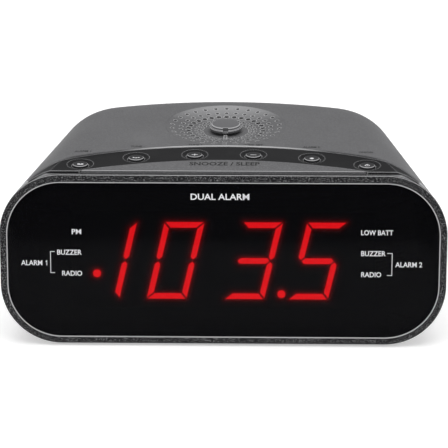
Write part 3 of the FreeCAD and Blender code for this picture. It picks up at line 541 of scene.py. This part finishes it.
def grained(name, colour, roughness, cell, depth, fleck=0.0, specular=0.2):
    """The same moulding, still open to more layers."""
    made = Finish(name, colour, roughness, specular=specular)
    grain = made.noise(cell, detail=3.0, rough=0.6)
    cloud = made.noise(0.018, detail=3.0)
    rub = made.noise(0.045, detail=5.0, rough=0.65)
    made.tint(made.ramp(grain, 0.55, 0.0, 0.36, 0.56), shade(colour, 0.62))
    made.tint(made.ramp(cloud, 0.0, 0.35, 0.35, 0.75), shade(colour, 1.18))
    if fleck:
        spark = made.noise(cell * 0.9, detail=1.5)
        made.tint(made.ramp(spark, 0.0, fleck, 0.54, 0.64), FLECK_TONE)
    made.tint(made.ramp(rub, 0.0, 0.22, 0.58, 0.72), shade(colour, 1.5))
    made.vary_roughness(rub, roughness + 0.06, roughness - 0.08)
    made.bump(grain, depth, 0.6)
    return made


def cover_plastic(name, colour, cell, recessed=False):
    """Housing grain, with a painted highlight line along the front edge and round a key panel's recess.
    """
    made = grained(name, colour, 0.5, cell, 0.00006, fleck=0.12)
    # painted highlight line along the front edge of the cover
    front = made.ramp(made.face_depth(), LINE_HIGHLIGHT, 0.0, *FRONT_HIGHLIGHT_DEPTHS)
    made.tint(front, RIM_HIGHLIGHT_TONE)
    if recessed:
        low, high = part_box("control_panel")
        half_w = (high.x - low.x) / 2 + PANEL_GAP
        half_d = high.y - PANEL_CENTRE_Y + CAD_FRONT + PANEL_GAP
        oval = made.oval((0.0, PANEL_CENTRE_Y - CAD_FRONT), (half_w, half_d))
        # painted highlight ring round the key panel's recess
        ring = made.ramp(oval, LINE_HIGHLIGHT, 0.0, *RECESS_HIGHLIGHT_RING)
        on_top = made.ramp(made.axis("Z"), 0.0, 1.0, low.z - MM, low.z)
        made.tint(made.times(ring, on_top), RIM_HIGHLIGHT_TONE)
    return made.material


def grille_plastic(name, colour, cell):
    """Housing grain, with a painted highlight round each sound hole and painted light on the back of the
    dish.
    """
    made = grained(name, colour, 0.5, cell, 0.00006, fleck=0.12)
    low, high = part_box("speaker_grille")
    centre = (low + high) / 2
    radius = (high.x - low.x) / 2
    middle = (centre.x, centre.y)
    inside = made.ramp(made.oval(middle, (radius, radius)), 1.0, 0.0, 0.93, 0.95)
    # painted light: the back of the dish is made paler
    painted_light_start = centre.y + radius * REAR_LIGHT_START
    rear = made.ramp(made.axis("Y"), 0.0, REAR_PAINTED_LIGHT, painted_light_start, centre.y + radius)
    made.tint(rear, RIM_HIGHLIGHT_TONE)
    # painted highlight round each sound hole
    made.tint(made.times(made.edge_mask(HOLE_HIGHLIGHT), inside), RIM_HIGHLIGHT_TONE)
    return made.material


def satin_plastic(name, colour, roughness, specular=0.12, edge=0.0):
    """Fine satin moulding with a soft bloom, hairline scuffs and, when edge is set, a painted highlight
    along its edges.
    """
    made = Finish(name, colour, roughness, specular=specular)
    grain = made.noise(0.00022, detail=2.0)
    cloud = made.noise(0.012, detail=4.0)
    scuffs = made.noise(0.0009, detail=3.0, where=made.stretched((1.0, 9.0, 1.0)))
    made.tint(made.ramp(cloud, 0.0, 0.4, 0.35, 0.7), shade(colour, 1.25))
    made.tint(made.ramp(scuffs, 0.0, 0.3, 0.62, 0.75), shade(colour, 1.7))
    if edge:
        # painted highlight: a paler band along edges and lips
        made.tint(made.ramp(made.edge_mask(EDGE_HIGHLIGHT, 0.975, 0.998), 0.0, edge), EDGE_HIGHLIGHT_TONE)
    made.vary_roughness(cloud, roughness - 0.05, roughness + 0.08)
    made.bump(grain, 0.00002, 0.5)
    return made.material


def plain_metal(name, colour, roughness, stretch=(1.0, 1.0, 14.0)):
    """Rolled or turned metal: fine drawn lines, dull patches and a few bright ones."""
    made = Finish(name, colour, roughness, metallic=1.0)
    lines = made.noise(0.0007, detail=4.0, where=made.stretched(stretch))
    patch = made.noise(0.006, detail=4.0)
    made.tint(made.ramp(patch, 0.0, 0.5, 0.4, 0.7), shade(colour, 0.72))
    made.tint(made.ramp(lines, 0.0, 0.35, 0.55, 0.75), shade(colour, 1.25))
    made.vary_roughness(patch, roughness - 0.08, roughness + 0.14)
    made.bump(lines, 0.00001, 0.4)
    return made.material


def rubber(name, colour):
    """Matt rubber with a dusty bloom and small pits."""
    made = Finish(name, colour, 0.82, specular=0.25)
    pits = made.cells(0.0004)
    bloom = made.noise(0.004, detail=5.0)
    made.tint(made.ramp(bloom, 0.0, 0.5, 0.45, 0.75), shade(colour, 2.4))
    made.vary_roughness(bloom, 0.74, 0.92)
    made.bump(pits, 0.00003, 0.5)
    return made.material


def circuit_board(name, colour):
    """Solder mask with copper tracks showing through, and tinned pads."""
    made = Finish(name, colour, 0.35, specular=0.5)
    track = made.node("ShaderNodeTexBrick", Vector=made.place, Scale=260.0)
    track.inputs["Mortar Size"].default_value = 0.05
    pads = made.cells(0.0031)
    weave = made.noise(0.0005, detail=2.0)
    made.tint(made.ramp(track.outputs["Fac"], 0.0, 0.8), shade(colour, 2.1))
    made.tint(made.ramp(pads, 1.0, 0.0, 0.16, 0.19), (0.62, 0.62, 0.58))
    made.tint(made.ramp(weave, 0.0, 0.3, 0.5, 0.7), shade(colour, 0.6))
    made.vary_roughness(weave, 0.28, 0.45)
    made.bump(track.outputs["Fac"], 0.00003, 0.5)
    return made.material


def wound_wire(name, colour, wire, axis="X", metallic=0.0):
    """Turns of wire or tape laid side by side along an axis."""
    made = Finish(name, colour, 0.4, metallic=metallic)
    turns = made.node("ShaderNodeTexWave", Vector=made.place, Scale=1 / wire / 6.3, Distortion=0.6)
    turns.bands_direction = axis
    cloud = made.noise(0.002, detail=3.0)
    made.tint(made.ramp(turns.outputs["Fac"], 0.75, 0.0, 0.0, 0.5), shade(colour, 0.35))
    made.tint(made.ramp(cloud, 0.0, 0.4, 0.4, 0.7), shade(colour, 1.3))
    made.vary_roughness(cloud, 0.32, 0.5)
    made.bump(turns.outputs["Fac"], wire * 0.3, 0.8)
    return made.material


def stone_like(name, colour, roughness):
    """Sintered or cast surface with fine pores and grey dust."""
    made = Finish(name, colour, roughness, specular=0.4)
    pores = made.cells(0.0005)
    dust = made.noise(0.003, detail=6.0, rough=0.65)
    made.tint(made.ramp(dust, 0.0, 0.6, 0.42, 0.7), shade(colour, 1.9))
    made.vary_roughness(dust, roughness - 0.08, roughness + 0.1)
    made.bump(pores, 0.00004, 0.5)
    return made.material


def pressed_paper(name, colour):
    """Black speaker paper with tangled fibres."""
    made = Finish(name, colour, 0.85, specular=0.2)
    fibres = made.noise(0.0012, detail=5.0, where=made.stretched((1.0, 3.5, 2.0)), rough=0.7)
    felt = made.noise(0.0004, detail=4.0)
    made.tint(made.ramp(fibres, 0.0, 0.7, 0.5, 0.7), shade(colour, 2.6))
    made.vary_roughness(felt, 0.78, 0.95)
    made.bump(fibres, 0.0001, 0.6)
    return made.material


def sleeved_can(name, colour):
    """Shrink sleeve with faint lengthwise wrinkles."""
    made = Finish(name, colour, 0.28, specular=0.5)
    wrinkles = made.noise(0.0012, detail=3.0, where=made.stretched((1.0, 1.0, 0.25)))
    bands = made.node("ShaderNodeTexWave", Vector=made.place, Scale=22.0)
    made.tint(made.ramp(bands.outputs["Fac"], 0.0, 0.7, 0.86, 0.9), (0.5, 0.5, 0.52))
    made.vary_roughness(wrinkles, 0.2, 0.36)
    made.bump(wrinkles, 0.00005, 0.5)
    return made.material


def smoked_lens(name, smoke):
    """Dark clear lens: lets part of the light through, with a trace of dust and marks left by polishing.
    """
    made = Finish(name, (0.0012, 0.0012, 0.002), 0.09, specular=0.07)
    haze = made.noise(0.02, detail=5.0)
    marks = made.noise(0.0011, detail=3.0, where=made.stretched((1.0, 1.0, 7.0)))
    made.shader.inputs["Alpha"].default_value = smoke
    made.vary_roughness(haze, 0.07, 0.13)
    made.bump(marks, 0.000002, 0.2)
    return made.material


def lit_plastic(name, colour, strength):
    """Lit diffuser of a bar: even red with a slightly brighter core grain."""
    made = Finish(name, shade(colour, 0.9), 0.5)
    grain = made.noise(0.0008, detail=3.0)
    glow = made.tree.nodes.new("ShaderNodeMix")
    glow.data_type = "RGBA"
    made.tree.links.new(made.ramp(grain, 0.0, 1.0, 0.35, 0.65), glow.inputs["Factor"])
    glow.inputs[MIX_A].default_value = (*shade(colour, 0.86), 1.0)
    glow.inputs[MIX_B].default_value = (colour[0], colour[1] * 2.2, colour[2] * 1.8, 1.0)
    made.tree.links.new(glow.outputs[MIX_RESULT], made.shader.inputs["Emission Color"])
    made.shader.inputs["Emission Strength"].default_value = strength
    made.bump(grain, 0.00002, 0.3)
    return made.material


def glow_film(name, colour, strength):
    """Black film that carries the light spilt beside each lit bar."""
    made = Finish(name, (0.002, 0.002, 0.002), 0.9, specular=0.0)
    fade = made.tree.nodes.new("ShaderNodeAttribute")
    fade.attribute_name = "glow"
    mottle = made.noise(0.0012, detail=3.0)
    light = made.times(fade.outputs["Fac"], made.ramp(mottle, 0.88, 1.08, 0.3, 0.7))
    spill = made.tree.nodes.new("ShaderNodeMix")
    spill.data_type = "RGBA"
    made.tree.links.new(light, spill.inputs["Factor"])
    spill.inputs[MIX_A].default_value = (0.0, 0.0, 0.0, 1.0)
    spill.inputs[MIX_B].default_value = (*colour, 1.0)
    made.tree.links.new(spill.outputs[MIX_RESULT], made.shader.inputs["Emission Color"])
    made.shader.inputs["Emission Strength"].default_value = strength
    return made.material


def printed_ink(name, colour, roughness=0.55):
    """Screen-printed ink with a slightly uneven edge to its tone."""
    made = Finish(name, colour, roughness, specular=0.3)
    screen = made.noise(0.00025, detail=2.0)
    made.tint(made.ramp(screen, 0.0, 0.3, 0.5, 0.7), shade(colour, 0.75))
    made.vary_roughness(screen, roughness - 0.08, roughness + 0.08)
    made.bump(screen, 0.000004, 0.4)
    return made.material


def finish_nodes(material, *names):
    """Give carried-over CAD nodes a material in place of their plain one."""
    for name in names:
        slots = frame["nodes"][name].material_slots
        if not slots:
            frame["nodes"][name].data.materials.append(material)
        for slot in slots:
            slot.material = material


# ---- pieces ------------------------------------------------------------------------------
class CaseOperator(bpy.types.Operator):
    """Finish the two covers, the speaker grille and the battery door"""

    bl_idname = "radio.case"
    bl_label = "Case"

    def execute(self, context):
        case = context.scene.radio_case
        finish_nodes(cover_plastic("housing_grain", case.housing, case.grain, recessed=True),
                     "top_cover")
        finish_nodes(cover_plastic("base_grain", case.housing, case.grain),
                     "bottom_cover", "battery_door")
        finish_nodes(grille_plastic("grille_grain", case.housing, case.grain), "speaker_grille")
        return {"FINISHED"}


class BezelOperator(bpy.types.Operator):
    """Build the grained frame round the lens, with its ledge behind the lens"""

    bl_idname = "radio.bezel"
    bl_label = "Bezel"

    # inset, rise and finish of each wall: 0 grained, 1 edge with a painted highlight, 2 plain black
    # behind the lens
    profile = (
        (0, 1.2, 0), (0.16, 0.16, 1), (0.5, 0.2, 0), (1.6, 0.4, 0), (0.5, 0.04, 0),
        (0.25, -0.02, 1), (0.14, -0.14, 1), (0, -2.64, 2), (3.85, 0, 2), (0, -3.7, 2),
    )
    back_profile = ((1.3, 0), (0, 0.9), (3.2, 0), (0, 1.6), (0.7, 0), (0, 2.0), (1.8, 0))

    def execute(self, context):
        case = context.scene.radio_case
        bm = bmesh.new()
        front = rounded_face(bm, FACE_HALF_W, FACE_HALF_H, FACE_R)
        copied = bmesh.ops.duplicate(bm, geom=[front])
        back = [g for g in copied["geom"] if isinstance(g, bmesh.types.BMFace)][0]
        bmesh.ops.reverse_faces(bm, faces=[back])
        for inset, rise, finish in self.profile:
            before = set(bm.faces)
            step(bm, front, inset, rise)
            for wall in set(bm.faces) - before:
                wall.material_index = finish
        for inset, rise in self.back_profile:
            step(bm, back, inset, rise)
        bmesh.ops.delete(bm, geom=[front, back], context="FACES_ONLY")
        bmesh.ops.translate(bm, vec=(0, 0, -BEZEL_BACK), verts=bm.verts)
        bmesh.ops.transform(bm, matrix=face_matrix(0), verts=bm.verts)
        tidy_normals(bm)
        spark = grained_plastic("bezel_spark", case.bezel, 0.55, case.grain * 0.7, 0.00012,
                                fleck=0.5, specular=0.07)
        # paler material for the painted highlight on the bezel's edge walls
        painted_highlight = satin_plastic("bezel_polish", EDGE_HIGHLIGHT_TONE, 0.3, specular=0.5)
        black = satin_plastic("bezel_black", shade(case.bezel, 0.3), 0.8, specular=0.05)
        piece("bezel_frame", bm, (spark, painted_highlight, black), "root", "bezel", "front_bezel")
        return {"FINISHED"}


class LensOperator(bpy.types.Operator):
    """Build the smoked lens"""

    bl_idname = "radio.lens"
    bl_label = "Lens"

    def execute(self, context):
        display = context.scene.radio_display
        bm = bmesh.new()
        inset = RIM + LENS_GAP
        front = rounded_face(bm, FACE_HALF_W - inset, FACE_HALF_H - inset, FACE_R - inset)
        slab(bm, front, ((0, LENS_BACK - LENS_FRONT - 0.25), (0.08, 0.17), (0.17, 0.08)))
        bmesh.ops.transform(bm, matrix=face_matrix(LENS_BACK), verts=bm.verts)
        tidy_normals(bm)
        material = smoked_lens("smoked_lens", display.smoke)
        piece("lens_window", bm, (material,), "root", "lens", "display_lens")
        return {"FINISHED"}


class DisplayOperator(bpy.types.Operator):
    """Light the digits and lay the film that glows beside them"""

    bl_idname = "radio.display"
    bl_label = "Display"

    film_half_w = 59.0
    film_low = -19.5
    film_high = 18.5
    film_cells = (236, 76)
    film_depth = SEGMENT_FRONT + 0.25

    def execute(self, context):
        display = context.scene.radio_display
        finish_nodes(lit_plastic("lit_segment", display.lit, display.strength), "display_segments")
        black = satin_plastic("display_black", (0.004, 0.004, 0.004), 0.8, specular=0.1)
        finish_nodes(black, "led_display", "display_mask")
        spill = glow_film("spilt_glow", display.lit, display.glow)
        piece("glow_film", self.film(display.glow_reach), (spill,), "root", "display_black")
        return {"FINISHED"}

    def film(self, reach):
        """A fine flat grid just under the faces of the bars, with a fading glow on its points."""
        bm = bmesh.new()
        wide, tall = self.film_cells
        bmesh.ops.create_grid(bm, x_segments=wide, y_segments=tall, size=1.0)
        half_h = (self.film_high - self.film_low) / 2
        bmesh.ops.scale(bm, vec=(self.film_half_w, half_h, 1), verts=bm.verts)
        bmesh.ops.translate(bm, vec=(0, self.film_low + half_h, 0), verts=bm.verts)
        bmesh.ops.transform(bm, matrix=face_matrix(self.film_depth), verts=bm.verts)
        bars = bmesh.new()
        bars.from_mesh(frame["nodes"]["display_segments"].data)
        tree = BVHTree.FromBMesh(bars)
        bars.free()
        layer = bm.verts.layers.float.new("glow")
        for vert in bm.verts:
            distance = tree.find_nearest(vert.co)[3]
            vert[layer] = math.exp(-distance / reach)
        return bm


class LegendsOperator(bpy.types.Operator):
    """Print the words and brackets on the front of the lens"""

    bl_idname = "radio.legends"
    bl_label = "Legends"

    # word, left, right, height on the face of its middle, all from the middle of the face
    words = (
        ("PM", -59.04, -55.32, 11.38), ("BUZZER", -64.87, -55.25, 3.08),
        ("RADIO", -63.05, -55.19, -5.40), ("ALARM", -79.09, -70.75, -1.22),
        ("LOW BATT", 53.75, 66.20, 11.53), ("BUZZER", 53.87, 63.43, 3.13),
        ("RADIO", 54.00, 61.82, -5.35), ("ALARM 2", 67.22, 77.75, -1.26),
    )
    cap_height = 2.07
    # upright, end of its ticks, top, bottom
    brackets = ((-67.50, -65.84, 3.34, -5.17), (65.95, 64.01, 3.26, -5.63))
    line = 0.26
    title = ("DUAL ALARM", -12.6, 10.2, 25.55, 2.5)
    one = (-69.0, -1.22)     # middle of the numeral after the left word

    def execute(self, context):
        display = context.scene.radio_display
        bm = bmesh.new()
        front = face_matrix(LENS_FRONT)
        for text, left, right, up in self.words:
            self.put(bm, text, left, right, up, self.cap_height, front)
        text, left, right, up, height = self.title
        self.put(bm, text, left, right, up, height, front)
        for upright, tick, top, bottom in self.brackets:
            half = self.line / 2
            left, right = sorted((upright, tick))
            bars = [(upright - half, bottom - half, upright + half, top + half)]
            bars += [(left, level - half, right, level + half) for level in (top, bottom)]
            for bar in bars:
                add_into(bm, bar_mesh(*bar), front)
        for bar in self.numeral():
            add_into(bm, bar, front)
        ink = printed_ink("legend_ink", display.ink)
        piece("lens_legends", bm, (ink,), "root", "lens")
        return {"FINISHED"}

    def numeral(self):
        """A figure one: an upright and its flag."""
        x, up = self.one
        half_h = self.cap_height / 2
        half_w = self.line * 0.6
        upright = bar_mesh(x - half_w, up - half_h, x + half_w, up + half_h)
        flag = bar_mesh(-0.36, -half_w * 0.8, 0.36, half_w * 0.8)
        lean = Matrix.Translation((x - 0.22, up + half_h - 0.36, 0)) @ Matrix.Rotation(0.75, 4, "Z")
        bmesh.ops.transform(flag, matrix=lean, verts=flag.verts)
        return upright, flag

    def put(self, bm, text, left, right, up, height, front):
        """Add one word between two sides, its middle at a height on the face."""
        word = word_mesh(text, height, right - left, bold=0.018)
        place = Matrix.Translation(((left + right) / 2, up, 0))
        add_into(bm, word, front @ place)


class PanelOperator(bpy.types.Operator):
    """Finish the key panel and build the snooze bar with its word"""

    bl_idname = "radio.panel"
    bl_label = "Panel"

    word_y = 0.0145          # behind the front edge of the face

    def execute(self, context):
        case = context.scene.radio_case
        # the panel's edges and the rims of its dishes get a painted highlight
        satin = satin_plastic("panel_satin", case.panel, 0.45, specular=0.08, edge=0.75)
        finish_nodes(satin, "control_panel")
        bar = soft_copy("snooze_bar", case.edge)
        # painted highlight on the upper slanting faces of the bar's rounded edges
        paint_edge_highlights(bar, above=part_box("control_panel")[0].z)
        grain = grained_plastic("snooze_grain", case.housing, 0.5, case.grain, 0.00005, fleck=0.25)
        painted_highlight = satin_plastic("snooze_polish", RIM_HIGHLIGHT_TONE, 0.35, specular=0.5)
        made = piece("snooze_cap", bar, (grain, painted_highlight), "snooze_bar", "housing", "snooze_bar")
        self.word(made)
        return {"FINISHED"}

    def word(self, bar):
        """Print the word on the snooze bar."""
        face_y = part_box("front_bezel")[0].y + FACE_HALF_H * math.sin(FACE_LEAN) * MM
        bm = bmesh.new()
        flat = word_mesh("SNOOZE / SLEEP", 3.1, 27.5, spacing=1.0, bold=0.022)
        lay_on(flat, bar, (0.0004, face_y + self.word_y))
        add_into(bm, flat, Matrix.Identity(4))
        ink = printed_ink("snooze_ink", (0.012, 0.012, 0.012))
        piece("snooze_word", bm, (ink,), "snooze_bar", "housing")


def lay_on(flat, target, place):
    """Drop a flat millimetre bmesh on a piece's upper surface round a point (x, y)."""
    bmesh.ops.scale(flat, vec=(MM, MM, MM), verts=flat.verts)
    x, y = place
    tree = BVHTree.FromPolygons([v.co for v in target.data.vertices],
                                [tuple(p.vertices) for p in target.data.polygons])
    for vert in flat.verts:
        start = Vector((x + vert.co.x, y + vert.co.y, CAD_BOX[1][2] + DROP_FROM))
        hit = tree.ray_cast(start, Vector((0, 0, -1)))[0]
        if hit is None:
            raise RuntimeError("a printed mark misses the piece it lies on")
        vert.co = (start.x, start.y, hit.z + vert.co.z * MARK_FLATTEN + MARK_CLEARANCE)


class KeysOperator(bpy.types.Operator):
    """Build the six keys with their dished caps and printed signs"""

    bl_idname = "radio.keys"
    bl_label = "Keys"

    def execute(self, context):
        controls = context.scene.radio_controls
        satin = satin_plastic("key_satin", controls.key, 0.38)
        # paler material for the painted highlight on each cap's rim
        painted_highlight = satin_plastic("key_polish", EDGE_HIGHLIGHT_TONE, 0.3, specular=0.5)
        ink = printed_ink("key_ink", (0.78, 0.78, 0.80))
        for node, sign in zip(KEY_NODES, self.signs()):
            low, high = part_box(node)
            centre = (low + high) / 2 / MM
            top = high.z / MM
            bm = bmesh.new()
            lathe(bm, self.profile(low.z / MM, top), (centre.x, centre.y))
            tidy_normals(bm, 1e-4)
            bmesh.ops.scale(bm, vec=(MM, MM, MM), verts=bm.verts)
            paint_edge_highlights(bm, above=high.z - 2 * KEY_SOFT * MM)
            name = node.replace("_button", "")
            cap = piece(name + "_cap", bm, (satin, painted_highlight), node, "key", node)
            marks = bmesh.new()
            for part in sign:
                lay_on(part, cap, (centre.x * MM, centre.y * MM))
                add_into(marks, part, Matrix.Identity(4))
            piece(name + "_sign", marks, (ink,), node, "key")
        return {"FINISHED"}

    def profile(self, low, top):
        """Stem, flange and a cap with a rounded rim and a hollow top."""
        flange = top - KEY_FLANGE_DROP
        wide = KEY_R + KEY_FLANGE
        corners = [(0, low, False), (wide, low, False), (wide, flange, False), (KEY_R, flange, False),
                   (KEY_R, top, True), (KEY_R - 0.85, top, True), (0, top - KEY_DISH, False)]
        return rounded(corners, KEY_SOFT)

    def signs(self):
        """Signs for alarm 1, tune down, tune up, time, alarm 2 and power."""
        return (
            [disc_mesh(-0.55, 0.1, 0.62), disc_mesh(0.65, 0.1, 0.62), bar_mesh(-1.1, -0.75, 1.2, -0.45)],
            [disc_mesh(-0.95, 0, 0.42), disc_mesh(0.05, 0, 0.42), disc_mesh(1.0, 0, 0.42)],
            [bar_mesh(-1.2, -0.22, 1.2, 0.22), bar_mesh(-0.2, -0.9, 0.2, 0.9)],
            [bar_mesh(-1.2, -0.2, 1.2, 0.2)],
            [disc_mesh(0, 0, 0.8)],
            [disc_mesh(0, -0.1, 1.0, hole=0.7), bar_mesh(-0.17, 0.1, 0.17, 1.2)],
        )


class LabelsOperator(bpy.types.Operator):
    """Print the word for each key on the cover behind it"""

    bl_idname = "radio.labels"
    bl_label = "Key labels"

    words = ("ALARM 1", "TUNE -", "TUNE +", "TIME SET", "ALARM 2", "ON/OFF")
    behind = (12.2, 11.0, 9.95, 9.95, 11.0, 12.2)
    cap_height = 2.0
    width = 0.95            # for each letter

    def execute(self, context):
        bm = bmesh.new()
        for node, text, back in zip(KEY_NODES, self.words, self.behind):
            low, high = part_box(node)
            centre = (low + high) / 2
            word = word_mesh(text, self.cap_height, self.width * len(text), bold=0.026)
            lay_on(word, frame["nodes"]["top_cover"], (centre.x, centre.y + back * MM))
            add_into(bm, word, Matrix.Identity(4))
        ink = printed_ink("label_ink", (0.012, 0.012, 0.012))
        piece("key_labels", bm, (ink,), "root", "housing")
        return {"FINISHED"}


class KnobOperator(bpy.types.Operator):
    """Build the volume knob on its shaft"""

    bl_idname = "radio.knob"
    bl_label = "Volume knob"

    def execute(self, context):
        controls = context.scene.radio_controls
        bm = soft_copy("volume_knob", controls.soften, segments=3)
        # painted highlight on the upper slanting faces of the knob's rounded edges
        paint_edge_highlights(bm)
        satin = satin_plastic("knob_satin", controls.knob, 0.34)
        painted_highlight = satin_plastic("knob_polish", EDGE_HIGHLIGHT_TONE, 0.3, specular=0.5)
        piece("volume_cap", bm, (satin, painted_highlight), "volume_knob", "knob", "volume_knob")
        finish_nodes(plain_metal("shaft_steel", (0.55, 0.55, 0.56), 0.3), "volume_shaft")
        steel = plain_metal("control_steel", (0.5, 0.5, 0.5), 0.35)
        finish_nodes(steel, "volume_control")
        return {"FINISHED"}


class BaseOperator(bpy.types.Operator):
    """Finish the feet, the screws, the battery contacts and the two bushes in the back"""

    bl_idname = "radio.base"
    bl_label = "Base and back"

    def execute(self, context):
        finish_nodes(rubber("foot_rubber", (0.018, 0.018, 0.018)), "rubber_feet")
        finish_nodes(rubber("bush_rubber", (0.022, 0.022, 0.022)), "cord_gland", "antenna_grommet")
        screws = plain_metal("zinc_plate", (0.55, 0.55, 0.56), 0.28)
        finish_nodes(screws, "case_screws", "face_screws", "speaker_screws", "board_screws")
        nickel = plain_metal("nickel_plate", (0.68, 0.66, 0.62), 0.2, (6.0, 1.0, 1.0))
        finish_nodes(nickel, "battery_contacts")
        return {"FINISHED"}


class InsideOperator(bpy.types.Operator):
    """Finish the boards, the speaker, the tuner and the transformer inside"""

    bl_idname = "radio.inside"
    bl_label = "Inside"

    def execute(self, context):
        board = circuit_board("solder_mask", (0.02, 0.11, 0.045))
        finish_nodes(board, "display_board", "key_board", "main_board")
        black = satin_plastic("switch_black", (0.02, 0.02, 0.02), 0.5)
        finish_nodes(black, "tactile_switches", "controller_chip")
        frame_steel = plain_metal("speaker_steel", (0.16, 0.16, 0.17), 0.45, (8.0, 8.0, 1.0))
        finish_nodes(frame_steel, "speaker_frame")
        finish_nodes(pressed_paper("speaker_paper", (0.018, 0.018, 0.018)), "speaker_cone")
        finish_nodes(stone_like("magnet_ferrite", (0.06, 0.06, 0.062), 0.6), "speaker_magnet")
        tin = plain_metal("tin_plate", (0.6, 0.6, 0.58), 0.25, (1.0, 8.0, 8.0))
        finish_nodes(tin, "tuner_can", "transformer_bracket")
        finish_nodes(sleeved_can("capacitor_sleeve", (0.02, 0.03, 0.13)), "capacitors")
        finish_nodes(stone_like("rod_ferrite", (0.035, 0.035, 0.036), 0.5), "ferrite_antenna")
        finish_nodes(wound_wire("coil_wire", (0.5, 0.2, 0.08), 0.0004, "X", 0.6), "antenna_coil")
        finish_nodes(satin_plastic("nylon", (0.62, 0.61, 0.56), 0.5), "antenna_clips")
        finish_nodes(wound_wire("flat_lead", (0.5, 0.5, 0.5), 0.0012, "X"), "display_ribbon")
        laminations = wound_wire("core_plates", (0.2, 0.2, 0.21), 0.0005, "Y", 0.8)
        finish_nodes(laminations, "transformer_core")
        finish_nodes(wound_wire("winding_tape", (0.62, 0.42, 0.08), 0.0022, "Z"), "transformer_winding")
        return {"FINISHED"}


class StageOperator(bpy.types.Operator):
    """Set up the camera, the floor and the soft lights"""

    bl_idname = "radio.stage"
    bl_label = "Stage"

    aim = Vector((0.32, -46.97, 48.12)) * MM
    floor_half = 4.0
    floor_emission = 0.4
    # name, where it stands, its width in metres, the setting that holds its power
    lamps = (
        ("overhead_light", (0.0, -0.05, 1.1), 1.2, "key_power"),
        ("left_light", (-1.3, -1.1, 0.8), 0.9, "fill_power"),
        ("right_light", (1.3, -1.1, 0.8), 0.9, "fill_power"),
    )
    lamp_aim = Vector((0, 0, 0.03))

    def execute(self, context):
        stage = context.scene.radio_stage
        context.scene.view_settings.view_transform = "Standard"
        self.camera(context, stage)
        self.floor()
        for lamp in self.lamps:
            self.light(context, stage, *lamp)
        world = bpy.data.worlds.new("even_light")
        world.use_nodes = True
        background = world.node_tree.nodes["Background"]
        background.inputs["Color"].default_value = (1.0, 1.0, 1.0, 1.0)
        background.inputs["Strength"].default_value = stage.ambient
        context.scene.world = world
        return {"FINISHED"}

    def camera(self, context, stage):
        """The camera, looking down at the front of the radio."""
        data = bpy.data.cameras.new("camera")
        data.lens = stage.focal_length
        data.sensor_width = 36.0
        made = bpy.data.objects.new("camera", data)
        context.scene.collection.objects.link(made)
        level = math.cos(stage.pitch)
        ahead = Vector((math.sin(stage.yaw) * level, math.cos(stage.yaw) * level, -math.sin(stage.pitch)))
        turn = ahead.to_track_quat("-Z", "Y").to_matrix().to_4x4()
        roll = Matrix.Rotation(stage.roll, 4, "Z")
        made.matrix_world = Matrix.Translation(self.aim - ahead * stage.distance) @ turn @ roll
        context.scene.camera = made

    def floor(self):
        """A wide pale floor."""
        bm = bmesh.new()
        bmesh.ops.create_grid(bm, x_segments=8, y_segments=8, size=self.floor_half)
        mesh = bpy.data.meshes.new("floor")
        bm.to_mesh(mesh)
        bm.free()
        made = Finish("floor_paint", (0.9, 0.9, 0.9), 0.8, specular=0.1)
        made.shader.inputs["Emission Color"].default_value = (1.0, 1.0, 1.0, 1.0)
        made.shader.inputs["Emission Strength"].default_value = self.floor_emission
        mottle = made.noise(0.3, detail=3.0)
        made.tint(made.ramp(mottle, 0.0, 0.3, 0.4, 0.7), (0.87, 0.87, 0.87))
        mesh.materials.append(made.material)
        floor = bpy.data.objects.new("floor", mesh)
        bpy.context.scene.collection.objects.link(floor)

    def light(self, context, stage, name, place, width, power):
        """A round soft light aimed at the radio."""
        data = bpy.data.lights.new(name, "AREA")
        data.shape = "DISK"
        data.size = width
        data.energy = getattr(stage, power)
        made = bpy.data.objects.new(name, data)
        context.scene.collection.objects.link(made)
        made.location = place
        towards = self.lamp_aim - made.location
        made.rotation_euler = towards.to_track_quat("-Z", "Y").to_euler()


OPERATORS = (CaseOperator, BezelOperator, LensOperator, DisplayOperator, LegendsOperator,
             PanelOperator, KeysOperator, LabelsOperator, KnobOperator, BaseOperator,
             InsideOperator, StageOperator)


class RadioPanel(bpy.types.Panel):
    """Buttons and values for the clock radio"""

    bl_idname = "VIEW3D_PT_clock_radio"
    bl_label = "Clock Radio"
    bl_space_type = "VIEW_3D"
    bl_region_type = "UI"
    bl_category = "Clock Radio"

    def draw(self, context):
        for name, settings in SETTINGS.items():
            group = getattr(context.scene, name)
            column = self.layout.column(align=True)
            for key in settings.__annotations__:
                column.prop(group, key)
        for operator in OPERATORS:
            self.layout.operator(operator.bl_idname)


CLASSES = (*SETTINGS.values(), *OPERATORS, RadioPanel)


def register():
    for made in CLASSES:
        bpy.utils.register_class(made)
    for name, settings in SETTINGS.items():
        setattr(bpy.types.Scene, name, bpy.props.PointerProperty(type=settings))


def unregister():
    for name in SETTINGS:
        delattr(bpy.types.Scene, name)
    for made in reversed(CLASSES):
        bpy.utils.unregister_class(made)


def main():
    register()
    for operator in OPERATORS:
        group, action = operator.bl_idname.split(".")
        getattr(getattr(bpy.ops, group), action)()


if __name__ == "__main__":
    main()
